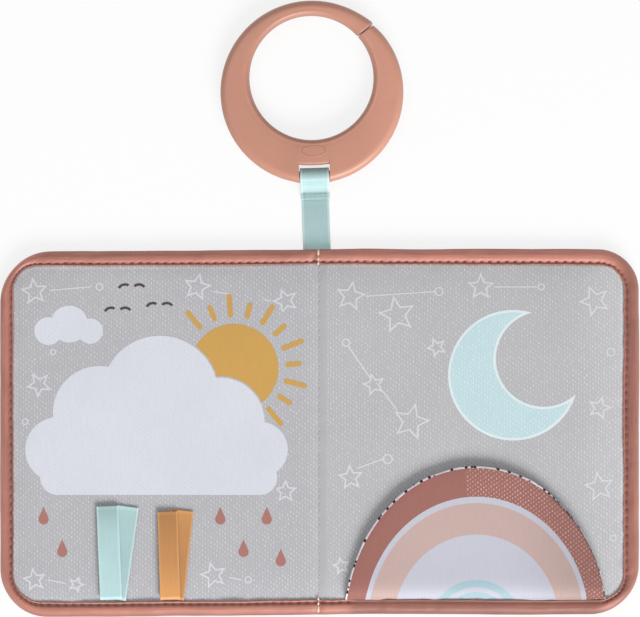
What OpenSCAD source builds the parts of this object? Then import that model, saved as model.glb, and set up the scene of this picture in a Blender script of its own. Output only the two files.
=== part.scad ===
// Soft book of two padded cloth panels, laid open on its back with the pages up.
// X runs across the open book, Y up the spine towards the ring, Z up out of the pages.
// The origin is the middle of the spine, on the underside. All sizes are in millimetres.

/* [Panels] */
// Width of one panel, from the spine to its outer edge
panel_w = 136.6; // [110:0.2:180]
// Height of the panels along the spine
panel_h = 157; // [120:0.5:220]
// Thickness of a panel at its bound edge
edge_t = 5; // [4:0.1:9]
// Radius of the outer corners
corner_r = 20; // [14:0.5:30]
// Thickness of the page and cover cloth
cloth_t = 0.4; // [0.2:0.05:0.6]
// Gap between each panel and the middle of the spine
spine_gap = 0.2; // [0.15:0.05:0.5]

/* [Spine] */
// Width of the flat seam strip on each side of the spine
seam_w = 0.9; // [0.8:0.1:2]
// Width of the slope from the seam strip up to the page
slope_w = 2.8; // [1.5:0.1:6]
// Space between the two pages when the book is shut, for the flap and the ribbon loops
shut_gap = 6.6; // [6.2:0.1:9]

/* [Binding] */
// Width of the binding on the faces of a panel
binding_w = 6.5; // [5:0.1:9]
// Thickness of the folded binding tape
tape_t = 0.7; // [0.6:0.05:0.9]
// Depth of the pocket that holds the cloth and the padding
pocket_d = 4.7; // [3:0.1:4.9]
// Distance from the inner edge of the binding to its stitches
stitch_inset = 1.2; // [0.8:0.1:2]

/* [Stitches] */
// Length of one stitch
stitch_l = 2.4; // [1.5:0.1:3]
// Distance between one stitch and the next
stitch_pitch = 3.4; // [3.2:0.1:5]
// Width of the thread
thread_w = 0.4; // [0.3:0.05:0.6]
// Height of the thread
thread_h = 0.3; // [0.2:0.05:0.35]

/* [Ring] */
// Outer radius of the ring
ring_r = 39.4; // [34:0.2:50]
// Thickness of the ring
ring_t = 6.6; // [6.6:0.1:9]
// Radius of the hole
hole_r = 26.7; // [20:0.1:27]
// Offset of the hole from the middle of the ring, away from the book
hole_shift = 6.1; // [4:0.1:6.5]
// Rounding of the outer rim
rim_round = 2.9; // [1:0.1:3]
// Rounding of the hole's edges
hole_round = 2; // [0.5:0.1:2.5]
// Angle of the split, counted from the X axis of the ring
split_angle = 47; // [20:1:70]
// Tilt of the split against the radius
split_tilt = -10; // [-20:1:20]
// Width of the split
split_w = 0.4; // [0.2:0.1:2]
// Width of the ribbon slot
slot_w = 13.3; // [13:0.1:15]
// Clear height of the ribbon slot
slot_h = 2.8; // [1.5:0.1:4]
// Radius of the round bar below the slot
bar_r = 2.5; // [2:0.1:2.5]
// Distance from the rim's lowest point up to the bar
bar_inset = 0.5; // [0.3:0.1:1]
// Length of the bare oval panel under the hole
oval_l = 10.2; // [6:0.2:14]
// Height of the oval panel
oval_h = 4.6; // [3:0.1:6]
// Depth of the oval panel
oval_d = 0.25; // [0.1:0.05:0.5]

/* [Tether ribbon] */
// Width of the tether ribbon
tether_w = 12.1; // [8:0.1:12.5]
// Distance between the book and the ring
tether_free = 28; // [20:0.5:60]
// Sideways place of the ribbon's root at the top of the spine
tether_x = -0.5; // [-2:0.1:2]
// Lean of the ribbon and the ring to the left
tether_lean = 1.8; // [0:0.1:5]
// Thickness of the satin ribbons
ribbon_t = 0.3; // [0.2:0.05:0.35]
// Space between the ribbon loop and the bar
loop_play = 0.3; // [0.3:0.05:0.35]
// Length of the folded hem on the ribbon's end
hem_l = 3.1; // [2:0.1:5]
// Distance from the ring down to the hem's end
lap_l = 6.7; // [6:0.1:12]

/* [Ribbon loops] */
// Width of the mint loops
mint_w = 9.4; // [6:0.1:12]
// Height of the mint loops above the binding
mint_h = 40.3; // [20:0.1:60]
// Distance of the mint loops from the spine
mint_x = 88.9; // [75:0.1:105]
// Width of the copper loops
copper_w = 8.8; // [6:0.1:12]
// Height of the copper loops above the binding
copper_h = 38.4; // [20:0.1:60]
// Distance of the copper loops from the spine
copper_x = 63.5; // [40:0.1:65]
// Lean of the front loops to the left
front_lean = 2.2; // [0:0.1:5]
// Lean of the back loops to the right
back_lean = 7.4; // [0:0.1:12]
// Sideways step from the front loop to the back loop at the binding
back_step = 1.7; // [0:0.1:5]

/* [Flap] */
// Distance of the flap's middle from the spine
flap_x = 68.1; // [62:0.1:68.5]
// Half width of the flap's curve
flap_a = 56.9; // [40:0.1:57]
// Height of the flap's curve above its centre
flap_b = 68.4; // [50:0.1:80]
// Distance of the curve's centre below the binding's inner edge
flap_drop = 11.4; // [5:0.1:15]
// Thickness of the padded flap with its cloth
flap_t = 3.6; // [1.5:0.1:3.8]
// Width of the lining edge that rolls to the front
lining_roll = 0.8; // [0.5:0.1:1.5]
// Width of the outer band at the top and at the sides
rose_band = [12.2, 7.6]; // [5:0.1:15]
// Width of the light line inside it at the top and at the sides
light_band = [2.7, 2]; // [1:0.1:4]
// Width of the middle band at the top and at the sides
peach_band = [13.5, 10.8]; // [5:0.1:15]
// Outer radius of the small arch
arch_r = 19.8; // [16:0.1:24]
// Width of the small arch
arch_w = 3.2; // [1:0.1:5]
// Radius of the core
core_r = 14.4; // [12:0.1:15]

/* [Print] */
// Thickness of the printed colour
print_t = 0.12; // [0.08:0.01:0.15]
// Width of the thin printed lines
line_w = 0.6; // [0.3:0.05:1]
// Radius of the printed sun
sun_r = 19; // [12:0.5:24]
// Radius of the printed moon
moon_r = 27; // [20:0.5:32]
// Width of the moon's light edge
moon_edge = 1.1; // [0.6:0.1:2]

/* [Hidden] */
$fn = 96;

// Small distance by which a cut runs past a surface
past = 1;

rose = "#b07a6e";
grey = "#bebdbf";
mint = "#b5d8d6";
copper = "#c8925f";
cream = "#e9ded2";
white = "#d6d8e2";

// Heights of the layers in a panel
page_z = edge_t - tape_t;
cover_z = tape_t;
seam_z = cover_z + cloth_t;
core_inset = binding_w - pocket_d + 0.2;
inner_y = panel_h / 2 - binding_w;
inner_x = panel_w - binding_w;
slope_x = spine_gap + seam_w;
fold_z = page_z + shut_gap / 2;

// Space between a thread and the floor of its groove
thread_play = 0.02;

// Heights of what lies on the pages
lay_gap = 0.03;
on_page_z = page_z + print_t + lay_gap;
loop_t = 2 * ribbon_t + 0.1;
flap_z = page_z + print_t + 0.2;
flap_top = flap_z + flap_t;

// Places on the ring, counted from its middle
bar_y = -(ring_r - bar_inset - bar_r);
slot_top_y = bar_y + bar_r + slot_h;
hole_low_y = hole_shift - hole_r;
ring_y = tether_free + ring_r;

// Ribbon loop round the ring's bar, in the plane of the ribbon's side view
loop_y = ring_y + bar_y;
loop_z = ring_t / 2;
loop_ri = bar_r + loop_play;
loop_ro = loop_ri + ribbon_t;
tether_z = loop_z - loop_ro;
tether_tail = binding_w - 0.5;
tether_room = 0.35;

// The hem lies on the ribbon's back layer: its folded layer, then its front layer
hem_y = tether_free - lap_l;
hem_end = hem_y + hem_l;
hem_z = tether_z + ribbon_t;
hem_top = hem_z + 2 * ribbon_t;

// Slope of the ribbon's front layer: the upper tangent from the hem to the turn round the bar
front_rm = (loop_ri + loop_ro) / 2;
front_dy = loop_y - hem_end;
front_dz = loop_z - (hem_top - ribbon_t / 2);
front_a = atan2(front_dz, front_dy) + asin(front_rm / norm([front_dy, front_dz]));
hem_mitre = ribbon_t / 2 * tan(front_a / 2);
turn_steps = 32;

// Outline of a panel, inset from its edge and open at the spine
module panel_outline(inset) {
    y = panel_h / 2;
    translate([spine_gap, -(y - inset)])
        square([panel_w - corner_r - spine_gap, 2 * (y - inset)]);
    translate([spine_gap, -(y - corner_r)])
        square([panel_w - inset - spine_gap, 2 * (y - corner_r)]);
    for (side = [-1, 1])
        translate([panel_w - corner_r, side * (y - corner_r)])
            circle(corner_r - inset);
}

// Extrudes a side profile, drawn in X and Z, along the whole height of a panel
module along_spine() {
    translate([0, panel_h / 2, 0])
        rotate([90, 0, 0])
            linear_extrude(panel_h)
                children();
}

module core_layer() {
    intersection() {
        linear_extrude(edge_t)
            panel_outline(core_inset);
        along_spine()
            children();
    }
}

// Page cloth, which dips to the seam at the spine
module page_cloth() {
    core_layer()
        polygon([
            [spine_gap, seam_z], [slope_x, seam_z],
            [slope_x + slope_w, page_z - cloth_t], [panel_w, page_z - cloth_t],
            [panel_w, page_z], [slope_x + slope_w, page_z],
            [slope_x, seam_z + cloth_t], [spine_gap, seam_z + cloth_t]
        ]);
}

module padding() {
    core_layer()
        polygon([
            [slope_x, seam_z], [panel_w, seam_z],
            [panel_w, page_z - cloth_t], [slope_x + slope_w, page_z - cloth_t]
        ]);
}

module cover_cloth() {
    core_layer()
        translate([spine_gap, cover_z])
            square([panel_w, cloth_t]);
}

// Section of the binding: U counts outwards from its inner edge
module binding_section() {
    groove = thread_w + 0.3;
    difference() {
        union() {
            square([binding_w - edge_t / 2, edge_t]);
            translate([binding_w - edge_t / 2, edge_t / 2])
                circle(edge_t / 2);
        }
        translate([-past, tape_t])
            square([past + pocket_d, edge_t - 2 * tape_t]);
        for (z = [-past, edge_t - thread_h])
            translate([stitch_inset - groove / 2, z])
                square([groove, past + thread_h]);
    }
}

module straight_binding(length) {
    rotate([90, 0, 90])
        linear_extrude(length)
            binding_section();
}

// Binding along the top edge, the outer corner and half of the outer edge
module half_binding() {
    translate([spine_gap, inner_y, 0])
        straight_binding(panel_w - corner_r - spine_gap);
    translate([panel_w - corner_r, panel_h / 2 - corner_r, 0])
        rotate_extrude(angle = 90)
            translate([corner_r - binding_w, 0])
                binding_section();
    translate([inner_x, panel_h / 2 - corner_r, 0])
        rotate([0, 0, -90])
            straight_binding(panel_h / 2 - corner_r);
}

// The whole binding of the right panel, before the room for the tether ribbon is cut
module binding() {
    half_binding();
    mirror([0, 1, 0])
        half_binding();
}

// Room for the tether ribbon under the binding, on both sides of the spine
module tether_recess() {
    at_tether()
        translate([-tether_w / 2 - tether_room, -binding_w - past, -past])
            cube([tether_w + 2 * tether_room, binding_w + 2 * past, past + tape_t]);
}

// One stitch, along X, on the faces of the binding
module edge_stitch() {
    for (z = [0, edge_t - thread_h + thread_play])
        translate([-stitch_l / 2, -thread_w / 2, z])
            cube([stitch_l, thread_w, thread_h - thread_play]);
}

// Stitches in even steps along the binding: top run, corner, outer run, corner and bottom run
module binding_stitches() {
    y = inner_y + stitch_inset;
    x = inner_x + stitch_inset;
    r = corner_r - binding_w + stitch_inset;
    run_x = panel_w - corner_r - 2 * past;
    run_y = panel_h - 2 * corner_r;
    turn = r * PI / 2;
    count_x = floor(run_x / stitch_pitch);
    count_y = floor(run_y / stitch_pitch);
    count_r = floor(turn / stitch_pitch);
    for (side = [-1, 1]) {
        for (i = [0 : count_x - 1])
            translate([past + (i + 0.5) * run_x / count_x, side * y, 0])
                intersection() {
                    edge_stitch();
                    stitch_keep(side, past + (i + 0.5) * run_x / count_x);
                }
        for (i = [0 : count_r - 1])
            translate([panel_w - corner_r, side * (panel_h / 2 - corner_r), 0])
                rotate([0, 0, side * (i + 0.5) * 90 / count_r])
                    translate([r, 0, 0])
                        rotate([0, 0, 90])
                            edge_stitch();
    }
    for (i = [0 : count_y - 1])
        translate([x, (i + 0.5) * run_y / count_y - run_y / 2, 0])
            rotate([0, 0, 90])
                edge_stitch();
}

// Box that keeps a whole stitch, or only its front half where the tether ribbon runs behind
module stitch_keep(side, x) {
    behind = side > 0 && x < tether_w / 2 + abs(tether_x) + 2 * past + stitch_l;
    translate([-stitch_l, -past, behind ? edge_t / 2 : -past])
        cube([2 * stitch_l, 2 * past, edge_t + 2 * past]);
}

// Frame of the tether ribbon: its root on the top edge of the book, leaning to the left
module at_tether() {
    translate([tether_x, panel_h / 2, 0])
        rotate([0, 0, tether_lean])
            children();
}

// Points on the ribbon's turn round the bar, in its side view, from below the bar to its front layer
function turn_points(r) = [
    for (i = [0 : turn_steps])
        let (t = -90 + i * (180 + front_a) / turn_steps)
        [loop_y + r * cos(t), loop_z + r * sin(t)]
];

// Side view of the tether ribbon in Y and Z: back layer, turn, sloping front layer and folded hem
module tether_section() {
    difference() {
        polygon(concat(
            [[-tether_tail, tether_z]],
            turn_points(loop_ro),
            [[hem_end - hem_mitre, hem_top], [hem_y, hem_top], [hem_y, hem_z], [-tether_tail, hem_z]]
        ));
        polygon(concat(
            [[hem_end + hem_mitre, hem_z]],
            turn_points(loop_ri),
            [[hem_end + hem_mitre, hem_top - ribbon_t]]
        ));
    }
}

module tether_ribbon() {
    color(mint)
        at_tether()
            translate([-tether_w / 2, 0, 0])
                rotate([90, 0, 90])
                    linear_extrude(tether_w)
                        tether_section();
}

// Two rows of stitches that hold the ribbon's hem
module tether_stitches() {
    count = 5;
    color(cream)
        at_tether()
            for (row = [0.25, 0.75])
                for (i = [0 : count - 1])
                    translate([
                        (i + 0.5) * tether_w / count - tether_w / 2 - stitch_l / 3,
                        hem_y + row * hem_l - thread_w / 2, hem_top
                    ])
                        cube([stitch_l / 1.5, thread_w, thread_h / 2]);
}

// Stitches down the spine seam, and over the binding at both ends
module spine_stitches() {
    run = 2 * inner_y - 2 * past;
    count = floor(run / stitch_pitch);
    x = spine_gap + seam_w / 2;
    over = floor((binding_w - edge_t / 2) / stitch_pitch);
    color(cream) {
        for (i = [0 : count - 1])
            translate([x - thread_w / 2, (i + 0.5) * run / count - run / 2 - stitch_l / 2, seam_z + cloth_t])
                cube([thread_w, stitch_l, thread_h]);
        for (side = [-1, 1])
            for (i = [0 : over - 1])
                translate([
                    x - thread_w / 2,
                    side * (inner_y + 2 * stitch_inset + (i + 0.5) * stitch_pitch - past / 2) - stitch_l / 2,
                    edge_t
                ])
                    cube([thread_w, stitch_l, thread_h / 2]);
    }
}

// Solid disc of the ring with a rounded rim
module ring_disc() {
    rotate_extrude() {
        square([ring_r - rim_round, ring_t]);
        translate([0, rim_round])
            square([ring_r, ring_t - 2 * rim_round]);
        for (z = [rim_round, ring_t - rim_round])
            translate([ring_r - rim_round, z])
                circle(rim_round);
    }
}

// Cutter of the hole, flared at both faces so that the hole's edges come out round
module ring_hole_cutter() {
    rotate_extrude() {
        translate([0, -past])
            square([hole_r, ring_t + 2 * past]);
        for (top = [0, 1])
            translate([hole_r, top * ring_t])
                mirror([0, top, 0])
                    difference() {
                        translate([-past / 2, -past / 2])
                            square([hole_round + past / 2, hole_round + past / 2]);
                        translate([hole_round, hole_round])
                            circle(hole_round);
                    }
    }
}

module ring_split() {
    r = ring_r - (ring_r - hole_r - hole_shift) / 2;
    rotate([0, 0, split_angle])
        translate([r, 0, 0])
            rotate([0, 0, split_tilt])
                translate([-ring_r / 4, -split_w / 2, -past])
                    cube([ring_r / 2, split_w, ring_t + 2 * past]);
}

// Bare sunken oval between the hole and the slot
module ring_oval() {
    straight = oval_l - oval_h;
    translate([0, (hole_low_y + slot_top_y) / 2, ring_t - oval_d])
        linear_extrude(oval_d + past) {
            square([straight, oval_h], center = true);
            for (side = [-1, 1])
                translate([side * straight / 2, 0])
                    circle(oval_h / 2);
        }
}

// Split ring with an off-centre hole, a ribbon slot and a round bar below the slot
module hanging_ring() {
    color("#c59079")
        at_tether()
            translate([0, ring_y, 0]) {
                difference() {
                    ring_disc();
                    translate([0, hole_shift, 0])
                        ring_hole_cutter();
                    translate([-slot_w / 2, -ring_r - past, -past])
                        cube([slot_w, ring_r + past + slot_top_y, ring_t + 2 * past]);
                    ring_split();
                    ring_oval();
                }
                translate([-slot_w / 2 - past, bar_y, loop_z])
                    rotate([0, 90, 0])
                        cylinder(r = bar_r, h = slot_w + 2 * past);
            }
}

// Side view of a ribbon loop: two layers that meet in a crease at the top
module loop_section(height) {
    bend = loop_t / 2;
    difference() {
        union() {
            square([height - bend, loop_t]);
            translate([height - bend, bend])
                circle(bend);
        }
        translate([-past, ribbon_t])
            square([height - bend + past, loop_t - 2 * ribbon_t]);
    }
}

// One loop standing on the binding at the bottom of the left page
module ribbon_loop(width, height, x, z, lean) {
    translate([-x, -inner_y + lay_gap, z])
        rotate([0, 0, lean])
            translate([-width / 2, width / 2 * sin(abs(lean)), 0])
                rotate([90, 0, 90])
                    linear_extrude(width)
                        loop_section(height);
}

module mint_loop_front() {
    color(mint)
        ribbon_loop(mint_w, mint_h, mint_x, on_page_z + loop_t + lay_gap, front_lean);
}

module mint_loop_back() {
    color(mint)
        ribbon_loop(mint_w, mint_h, mint_x - back_step, on_page_z, -back_lean);
}

module copper_loop_front() {
    color(copper)
        ribbon_loop(copper_w, copper_h, copper_x, on_page_z + loop_t + lay_gap, front_lean);
}

module copper_loop_back() {
    color(copper)
        ribbon_loop(copper_w, copper_h, copper_x - back_step, on_page_z, -back_lean);
}

// Half ellipse that stands on the inner edge of the bottom binding
module arch(a, b) {
    low = asin(min(1, (flap_drop + lay_gap) / b));
    steps = 48;
    translate([flap_x, -inner_y - flap_drop])
        polygon([
            for (i = [0 : steps])
                let (t = low + i * (180 - 2 * low) / steps)
                [a * cos(t), b * sin(t)]
        ]);
}

// Arch whose foot follows the inner edge of the binding round the corner
module flap_outline(a, b) {
    intersection() {
        arch(a, b);
        panel_outline(binding_w + lay_gap);
    }
}

// The lining is a shallow tray: its rim is the edge that shows round the front
module flap_lining() {
    color("white")
        translate([0, 0, flap_z])
            difference() {
                linear_extrude(flap_t)
                    flap_outline(flap_a, flap_b);
                translate([0, 0, cloth_t])
                    linear_extrude(flap_t)
                        arch(flap_a - lining_roll, flap_b - lining_roll);
            }
}

module flap_padding() {
    color("ivory")
        translate([0, 0, flap_z + cloth_t])
            linear_extrude(flap_t - 2 * cloth_t)
                flap_outline(flap_a - lining_roll - lay_gap, flap_b - lining_roll - lay_gap);
}

module flap_face() {
    color(white)
        translate([0, 0, flap_top - cloth_t])
            linear_extrude(cloth_t)
                flap_outline(flap_a - lining_roll - lay_gap, flap_b - lining_roll - lay_gap);
}

// Band printed on the flap between two arches
module flap_band(outer, inner) {
    translate([0, 0, flap_top])
        linear_extrude(print_t)
            difference() {
                flap_outline(outer[1], outer[0]);
                translate([0, -past])
                    arch(inner[1], inner[0] + past);
                arch(inner[1], inner[0]);
            }
}

face_arch = [flap_b - lining_roll - 2 * lay_gap, flap_a - lining_roll - 2 * lay_gap];

module flap_rose_band() {
    color(rose)
        flap_band(face_arch, face_arch - rose_band);
}

module flap_peach_band() {
    outer = face_arch - rose_band - light_band;
    color("#cdb4af")
        flap_band(outer, outer - peach_band);
}

module flap_mint_arch() {
    color("#afc6d3") {
        flap_band([arch_r, arch_r], [arch_r - arch_w, arch_r - arch_w]);
        translate([0, 0, flap_top])
            linear_extrude(print_t)
                arch(core_r, core_r);
    }
}

// Lays a flat printed shape on the page
module printed() {
    translate([0, 0, page_z])
        linear_extrude(print_t)
            children();
}

// Five-pointed star with one point turned up from the given angle
module star(r, turn) {
    polygon([
        for (i = [0 : 9])
            let (a = turn + 90 + i * 36, d = i % 2 == 0 ? r : r * 0.46)
            [d * cos(a), d * sin(a)]
    ]);
}

module star_line(r, turn) {
    difference() {
        star(r, turn);
        star(r - 3.2 * line_w, turn);
    }
}

module ring_line(r) {
    difference() {
        circle(r);
        circle(r - line_w);
    }
}

// Straight stroke with round ends, from one point to another
module stroke(from, to, width) {
    run = to - from;
    translate(from)
        rotate(atan2(run[1], run[0])) {
            translate([0, -width / 2])
                square([norm(run), width]);
            circle(width / 2);
            translate([norm(run), 0])
                circle(width / 2);
        }
}

// Curved stroke: part of a circle, from one angle to another
module bow(r, from, to, width) {
    steps = 10;
    turn = (to - from) / steps;
    polygon(concat(
        [for (i = [0 : steps]) (r + width / 2) * [cos(from + i * turn), sin(from + i * turn)]],
        [for (i = [steps : -1 : 0]) (r - width / 2) * [cos(from + i * turn), sin(from + i * turn)]]
    ));
}

// The drawings are laid out on a page of this width and half height, and follow the real page
art_page = [130.1, 72];
art = [inner_x / art_page[0], inner_y / art_page[1]];
art_scale = min(art[0], art[1]);

function spot(p) = [p[0] * art[0], p[1] * art[1]];

// Places count from the spine and from the middle of the book's height, and lobes from their cloud
cloud_at = [-68, 0];
cloud_lobes = [[-44, -8, 14], [-26, 8, 20], [0, 16, 25], [26, 4, 19], [43, -8, 12]];
cloud_base = [-44, 43, -20];
cloud_depth = 15;
small_cloud_at = [-107, 45];
small_cloud = [[-9, -2, 6], [0, 1, 8], [9, -2, 5.5]];
sun_at = [-36, 27];
drops = [[-118, -38], [-110, -52], [-42, -38], [-32, -52], [-22, -38], [-16, -56]];
birds = [[-80, 60], [-68, 52], [-86, 50]];
left_stars = [[-122, 60, 6.3, 8], [-52, 62, 6.5, -12], [-14, 56, 6, 20], [-120, 20, 6, 30],
    [-122, -64, 5.6, 10], [-104, -66, 4, -20], [-45, -62, 6.3, 14], [-14, -26, 5.4, 0]];
left_rings = [[-94, 62, 1.7], [-12, 34, 2], [-126, 4, 1.5], [-30, -64, 1.6], [-114, 34, 1.4]];
left_lines = [[[-115, 60.5], [-98, 62]], [[-45, 60], [-20.5, 56]],
    [[-116, -64], [-109, -65.5]], [[-38, -63], [-33, -64]]];
right_stars = [[14, 58, 7, -10], [34, 50, 8.5, 12], [70, 62, 6.2, 0], [119, 56, 7.2, 22], [24, 20, 5.4, 15],
    [40, 4, 8.5, -14], [14, -20, 6, 6], [121, 10, 5.6, -16], [121, -24, 7, 10], [10, -58, 4.4, 12],
    [51, 36, 4.8, 24]];
right_rings = [[52, 60, 2], [96, 62, 1.6], [12, 38, 1.8], [126, 34, 2], [30, -12, 2.2], [127, -46, 1.5]];
right_lines = [[[21, 58], [50, 60]], [[13, 36.5], [23, 22]], [[76, 62], [94, 62]],
    [[28, 17], [34, 9]], [[17, -16], [28, -12]]];
moon_at = [84, 24];
moon_bite = [13, 7, 0.8];

module lobes(cloud, grow) {
    for (lobe = cloud)
        translate(art_scale * [lobe[0], lobe[1]])
            circle(art_scale * lobe[2] + grow);
}

module cloud_shape(grow) {
    depth = art_scale * cloud_depth;
    low = art_scale * cloud_base[2];
    ends = art_scale * [cloud_base[0], cloud_base[1]];
    translate(spot(cloud_at)) {
        lobes(cloud_lobes, grow);
        translate([ends[0], low - depth / 2 - grow])
            square([ends[1] - ends[0], depth * 1.5 + grow]);
        for (x = ends)
            translate([x, low])
                circle(depth / 2 + grow);
    }
}

module small_cloud_shape(grow) {
    translate(spot(small_cloud_at))
        lobes(small_cloud, grow);
}

module left_cloud_print() {
    color(white)
        printed() {
            cloud_shape(0);
            small_cloud_shape(0);
        }
}

// Sun that rises behind the cloud, with a fan of rays
module left_sun_print() {
    rays = 11;
    color("#cb9e53")
        printed()
            difference() {
                translate(spot(sun_at)) {
                    circle(sun_r);
                    for (i = [0 : rays - 1])
                        rotate(-50 + i * 180 / (rays - 1))
                            stroke([sun_r + 4, 0], [sun_r + (i % 2 == 0 ? 12 : 9), 0], 2.2);
                }
                cloud_shape(line_w);
            }
}

module left_drop_print() {
    color("#a5706a")
        printed()
            for (at = drops)
                translate(spot(at)) {
                    circle(2.2);
                    polygon([[-2, 0.9], [2, 0.9], [0, 5.4]]);
                }
}

module left_bird_print() {
    color("#4d3f3f")
        printed()
            for (at = birds)
                for (side = [-1, 1])
                    translate(spot(at) + [side * 3, 0])
                        bow(3, 90 - side * 10 - 40, 90 - side * 10 + 52, 1.1);
}

module line_print(stars, rings, lines) {
    for (s = stars)
        translate(spot(s))
            star_line(s[2], s[3]);
    for (c = rings)
        translate(spot(c))
            ring_line(c[2]);
    for (l = lines)
        stroke(spot(l[0]), spot(l[1]), line_w);
}

module left_line_print() {
    color("white")
        printed()
            difference() {
                line_print(left_stars, left_rings, left_lines);
                cloud_shape(2 * line_w);
                small_cloud_shape(2 * line_w);
                translate(spot(sun_at))
                    circle(sun_r + 13);
            }
}

// Crescent between two circles
module moon_shape(grow) {
    translate(spot(moon_at))
        difference() {
            circle(moon_r + grow);
            translate([moon_bite[0], moon_bite[1]])
                circle(moon_r * moon_bite[2] - grow);
        }
}

module right_moon_print() {
    color("#c8dee2")
        printed()
            moon_shape(0);
}

module right_moon_edge_print() {
    color("#dfe9ec")
        printed()
            difference() {
                moon_shape(moon_edge);
                moon_shape(0);
            }
}

module right_line_print() {
    color("white")
        printed()
            difference() {
                line_print(right_stars, right_rings, right_lines);
                moon_shape(moon_edge + line_w);
            }
}

module mirrored() {
    mirror([1, 0, 0])
        children();
}

module right_page_cloth() { color(grey) page_cloth(); }
module right_padding() { color("ivory") padding(); }
module right_cover_cloth() { color(grey) cover_cloth(); }
module right_binding_stitches() { color("#c39a8f") binding_stitches(); }
module left_page_cloth() { color(grey) mirrored() page_cloth(); }
module left_padding() { color("ivory") mirrored() padding(); }
module left_cover_cloth() { color(grey) mirrored() cover_cloth(); }
module left_binding_stitches() { color("#c39a8f") mirrored() binding_stitches(); }

module right_binding() {
    color(rose)
        difference() {
            binding();
            tether_recess();
        }
}

module left_binding() {
    color(rose)
        difference() {
            mirrored()
                binding();
            tether_recess();
        }
}

right_page_cloth();
right_padding();
right_cover_cloth();
right_binding();
right_binding_stitches();
spine_stitches();
tether_ribbon();
tether_stitches();
flap_lining();
flap_padding();
flap_face();
flap_rose_band();
flap_peach_band();
flap_mint_arch();
right_moon_print();
right_moon_edge_print();
right_line_print();
left_page_cloth();
left_padding();
left_cover_cloth();
left_binding();
left_binding_stitches();
mint_loop_front();
mint_loop_back();
copper_loop_front();
copper_loop_back();
left_cloud_print();
left_sun_print();
left_drop_print();
left_bird_print();
left_line_print();
hanging_ring();
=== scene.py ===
import math

import bpy
import numpy as np
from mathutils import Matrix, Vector, geometry
from mathutils.bvhtree import BVHTree


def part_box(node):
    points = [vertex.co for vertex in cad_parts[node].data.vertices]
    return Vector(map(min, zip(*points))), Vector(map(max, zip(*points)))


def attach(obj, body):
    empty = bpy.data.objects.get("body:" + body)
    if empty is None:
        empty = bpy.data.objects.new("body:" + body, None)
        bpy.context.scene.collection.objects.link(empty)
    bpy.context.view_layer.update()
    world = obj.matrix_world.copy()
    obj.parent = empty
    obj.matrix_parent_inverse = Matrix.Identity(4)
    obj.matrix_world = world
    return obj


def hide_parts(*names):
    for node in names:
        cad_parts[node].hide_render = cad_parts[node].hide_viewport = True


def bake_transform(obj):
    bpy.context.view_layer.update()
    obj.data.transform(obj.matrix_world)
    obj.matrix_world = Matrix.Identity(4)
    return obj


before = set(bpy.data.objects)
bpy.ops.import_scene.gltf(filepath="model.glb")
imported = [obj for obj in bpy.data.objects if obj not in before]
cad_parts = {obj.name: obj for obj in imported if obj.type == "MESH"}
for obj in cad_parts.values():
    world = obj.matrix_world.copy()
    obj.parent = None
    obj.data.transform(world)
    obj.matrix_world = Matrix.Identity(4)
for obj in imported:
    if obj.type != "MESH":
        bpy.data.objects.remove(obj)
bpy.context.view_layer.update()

# Page cloth
# One sheet of grey cotton blend, printed with short light dashes, lies over both panels.
# It is stretched over the batting, caught under the binding all round and sewn down at the spine.
MM = 0.001
PANEL_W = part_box("right_binding")[1].x / MM
PANEL_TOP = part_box("right_binding")[1].y / MM
EDGE_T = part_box("right_binding")[1].z / MM
PAGE_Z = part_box("right_page_cloth")[1].z / MM
BOOK_X = 0.7  # the right panel came out a little wider than the left one
BOOK_SPREAD = 0.4  # the padded edges swell a little past the solid ones
BOOK_HALF_W = PANEL_W + BOOK_X + BOOK_SPREAD
BINDING_W = 6.5
PAGE_EDGE_Y = -(PANEL_TOP - BINDING_W)
# Width of the tape on the page along the right, top, left and bottom edges
TAPE_WIDTHS = (7.0, 6.7, 5.9, 6.6)
TAPE_CORNER = 10.3
# How far the long edges lie outside a straight line, at places across the book
TOP_WANDER = ([-137, -111, -16, 18, 112, 138], [-1.4, -1.0, -0.5, 0.1, -0.3, -0.6])
BOTTOM_WANDER = ([-137, -111, -94, -25, 10, 52, 91, 138], [1.6, 1.7, 1.7, 1.1, 0.6, 0.55, 0.8, 0.5])
CLOTH_T = 0.4
CLOTH_INSET = 3.2
CLOTH_CORNER = 16.8
PAGE_CORNER = 12.0
FLAP_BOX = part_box("flap_lining")
FLAP_X = (FLAP_BOX[0].x + FLAP_BOX[1].x) / 2 / MM
FLAP_LOW = FLAP_BOX[0].z / MM
FLAP_DROP = 11.4  # the arch's centre lies this far below the page's edge
FLAP_CENTRE_Y = PAGE_EDGE_Y - FLAP_DROP
FLAP_A, FLAP_B = 56.9, 68.4


def ease(t):
    t = np.clip(t, 0, 1)
    return t * t * (3 - 2 * t)


def soft_noise(x, y, cell, seed):
    """Smooth random heights from -1 to 1 whose bumps are about one cell wide."""
    table = np.random.default_rng(seed).uniform(-1, 1, (64, 64))
    gx, gy = np.asarray(x, float) / cell + 1000, np.asarray(y, float) / cell + 1000
    ix, iy = np.floor(gx).astype(int), np.floor(gy).astype(int)
    fx, fy = ease(gx - ix), ease(gy - iy)
    a, b = table[ix % 64, iy % 64], table[(ix + 1) % 64, iy % 64]
    c, d = table[ix % 64, (iy + 1) % 64], table[(ix + 1) % 64, (iy + 1) % 64]
    return (a * (1 - fx) + b * fx) * (1 - fy) + (c * (1 - fx) + d * fx) * fy


def inside_outline(x, y, inset, radius):
    """Distance from a point in to the rounded outline of the open book, inset from its edge."""
    qx = np.abs(x - BOOK_X) - (BOOK_HALF_W - inset - radius)
    qy = np.abs(y) - (PANEL_TOP - inset - radius)
    outer = np.hypot(np.maximum(qx, 0), np.maximum(qy, 0))
    return radius - outer - np.minimum(np.maximum(qx, qy), 0)


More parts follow.
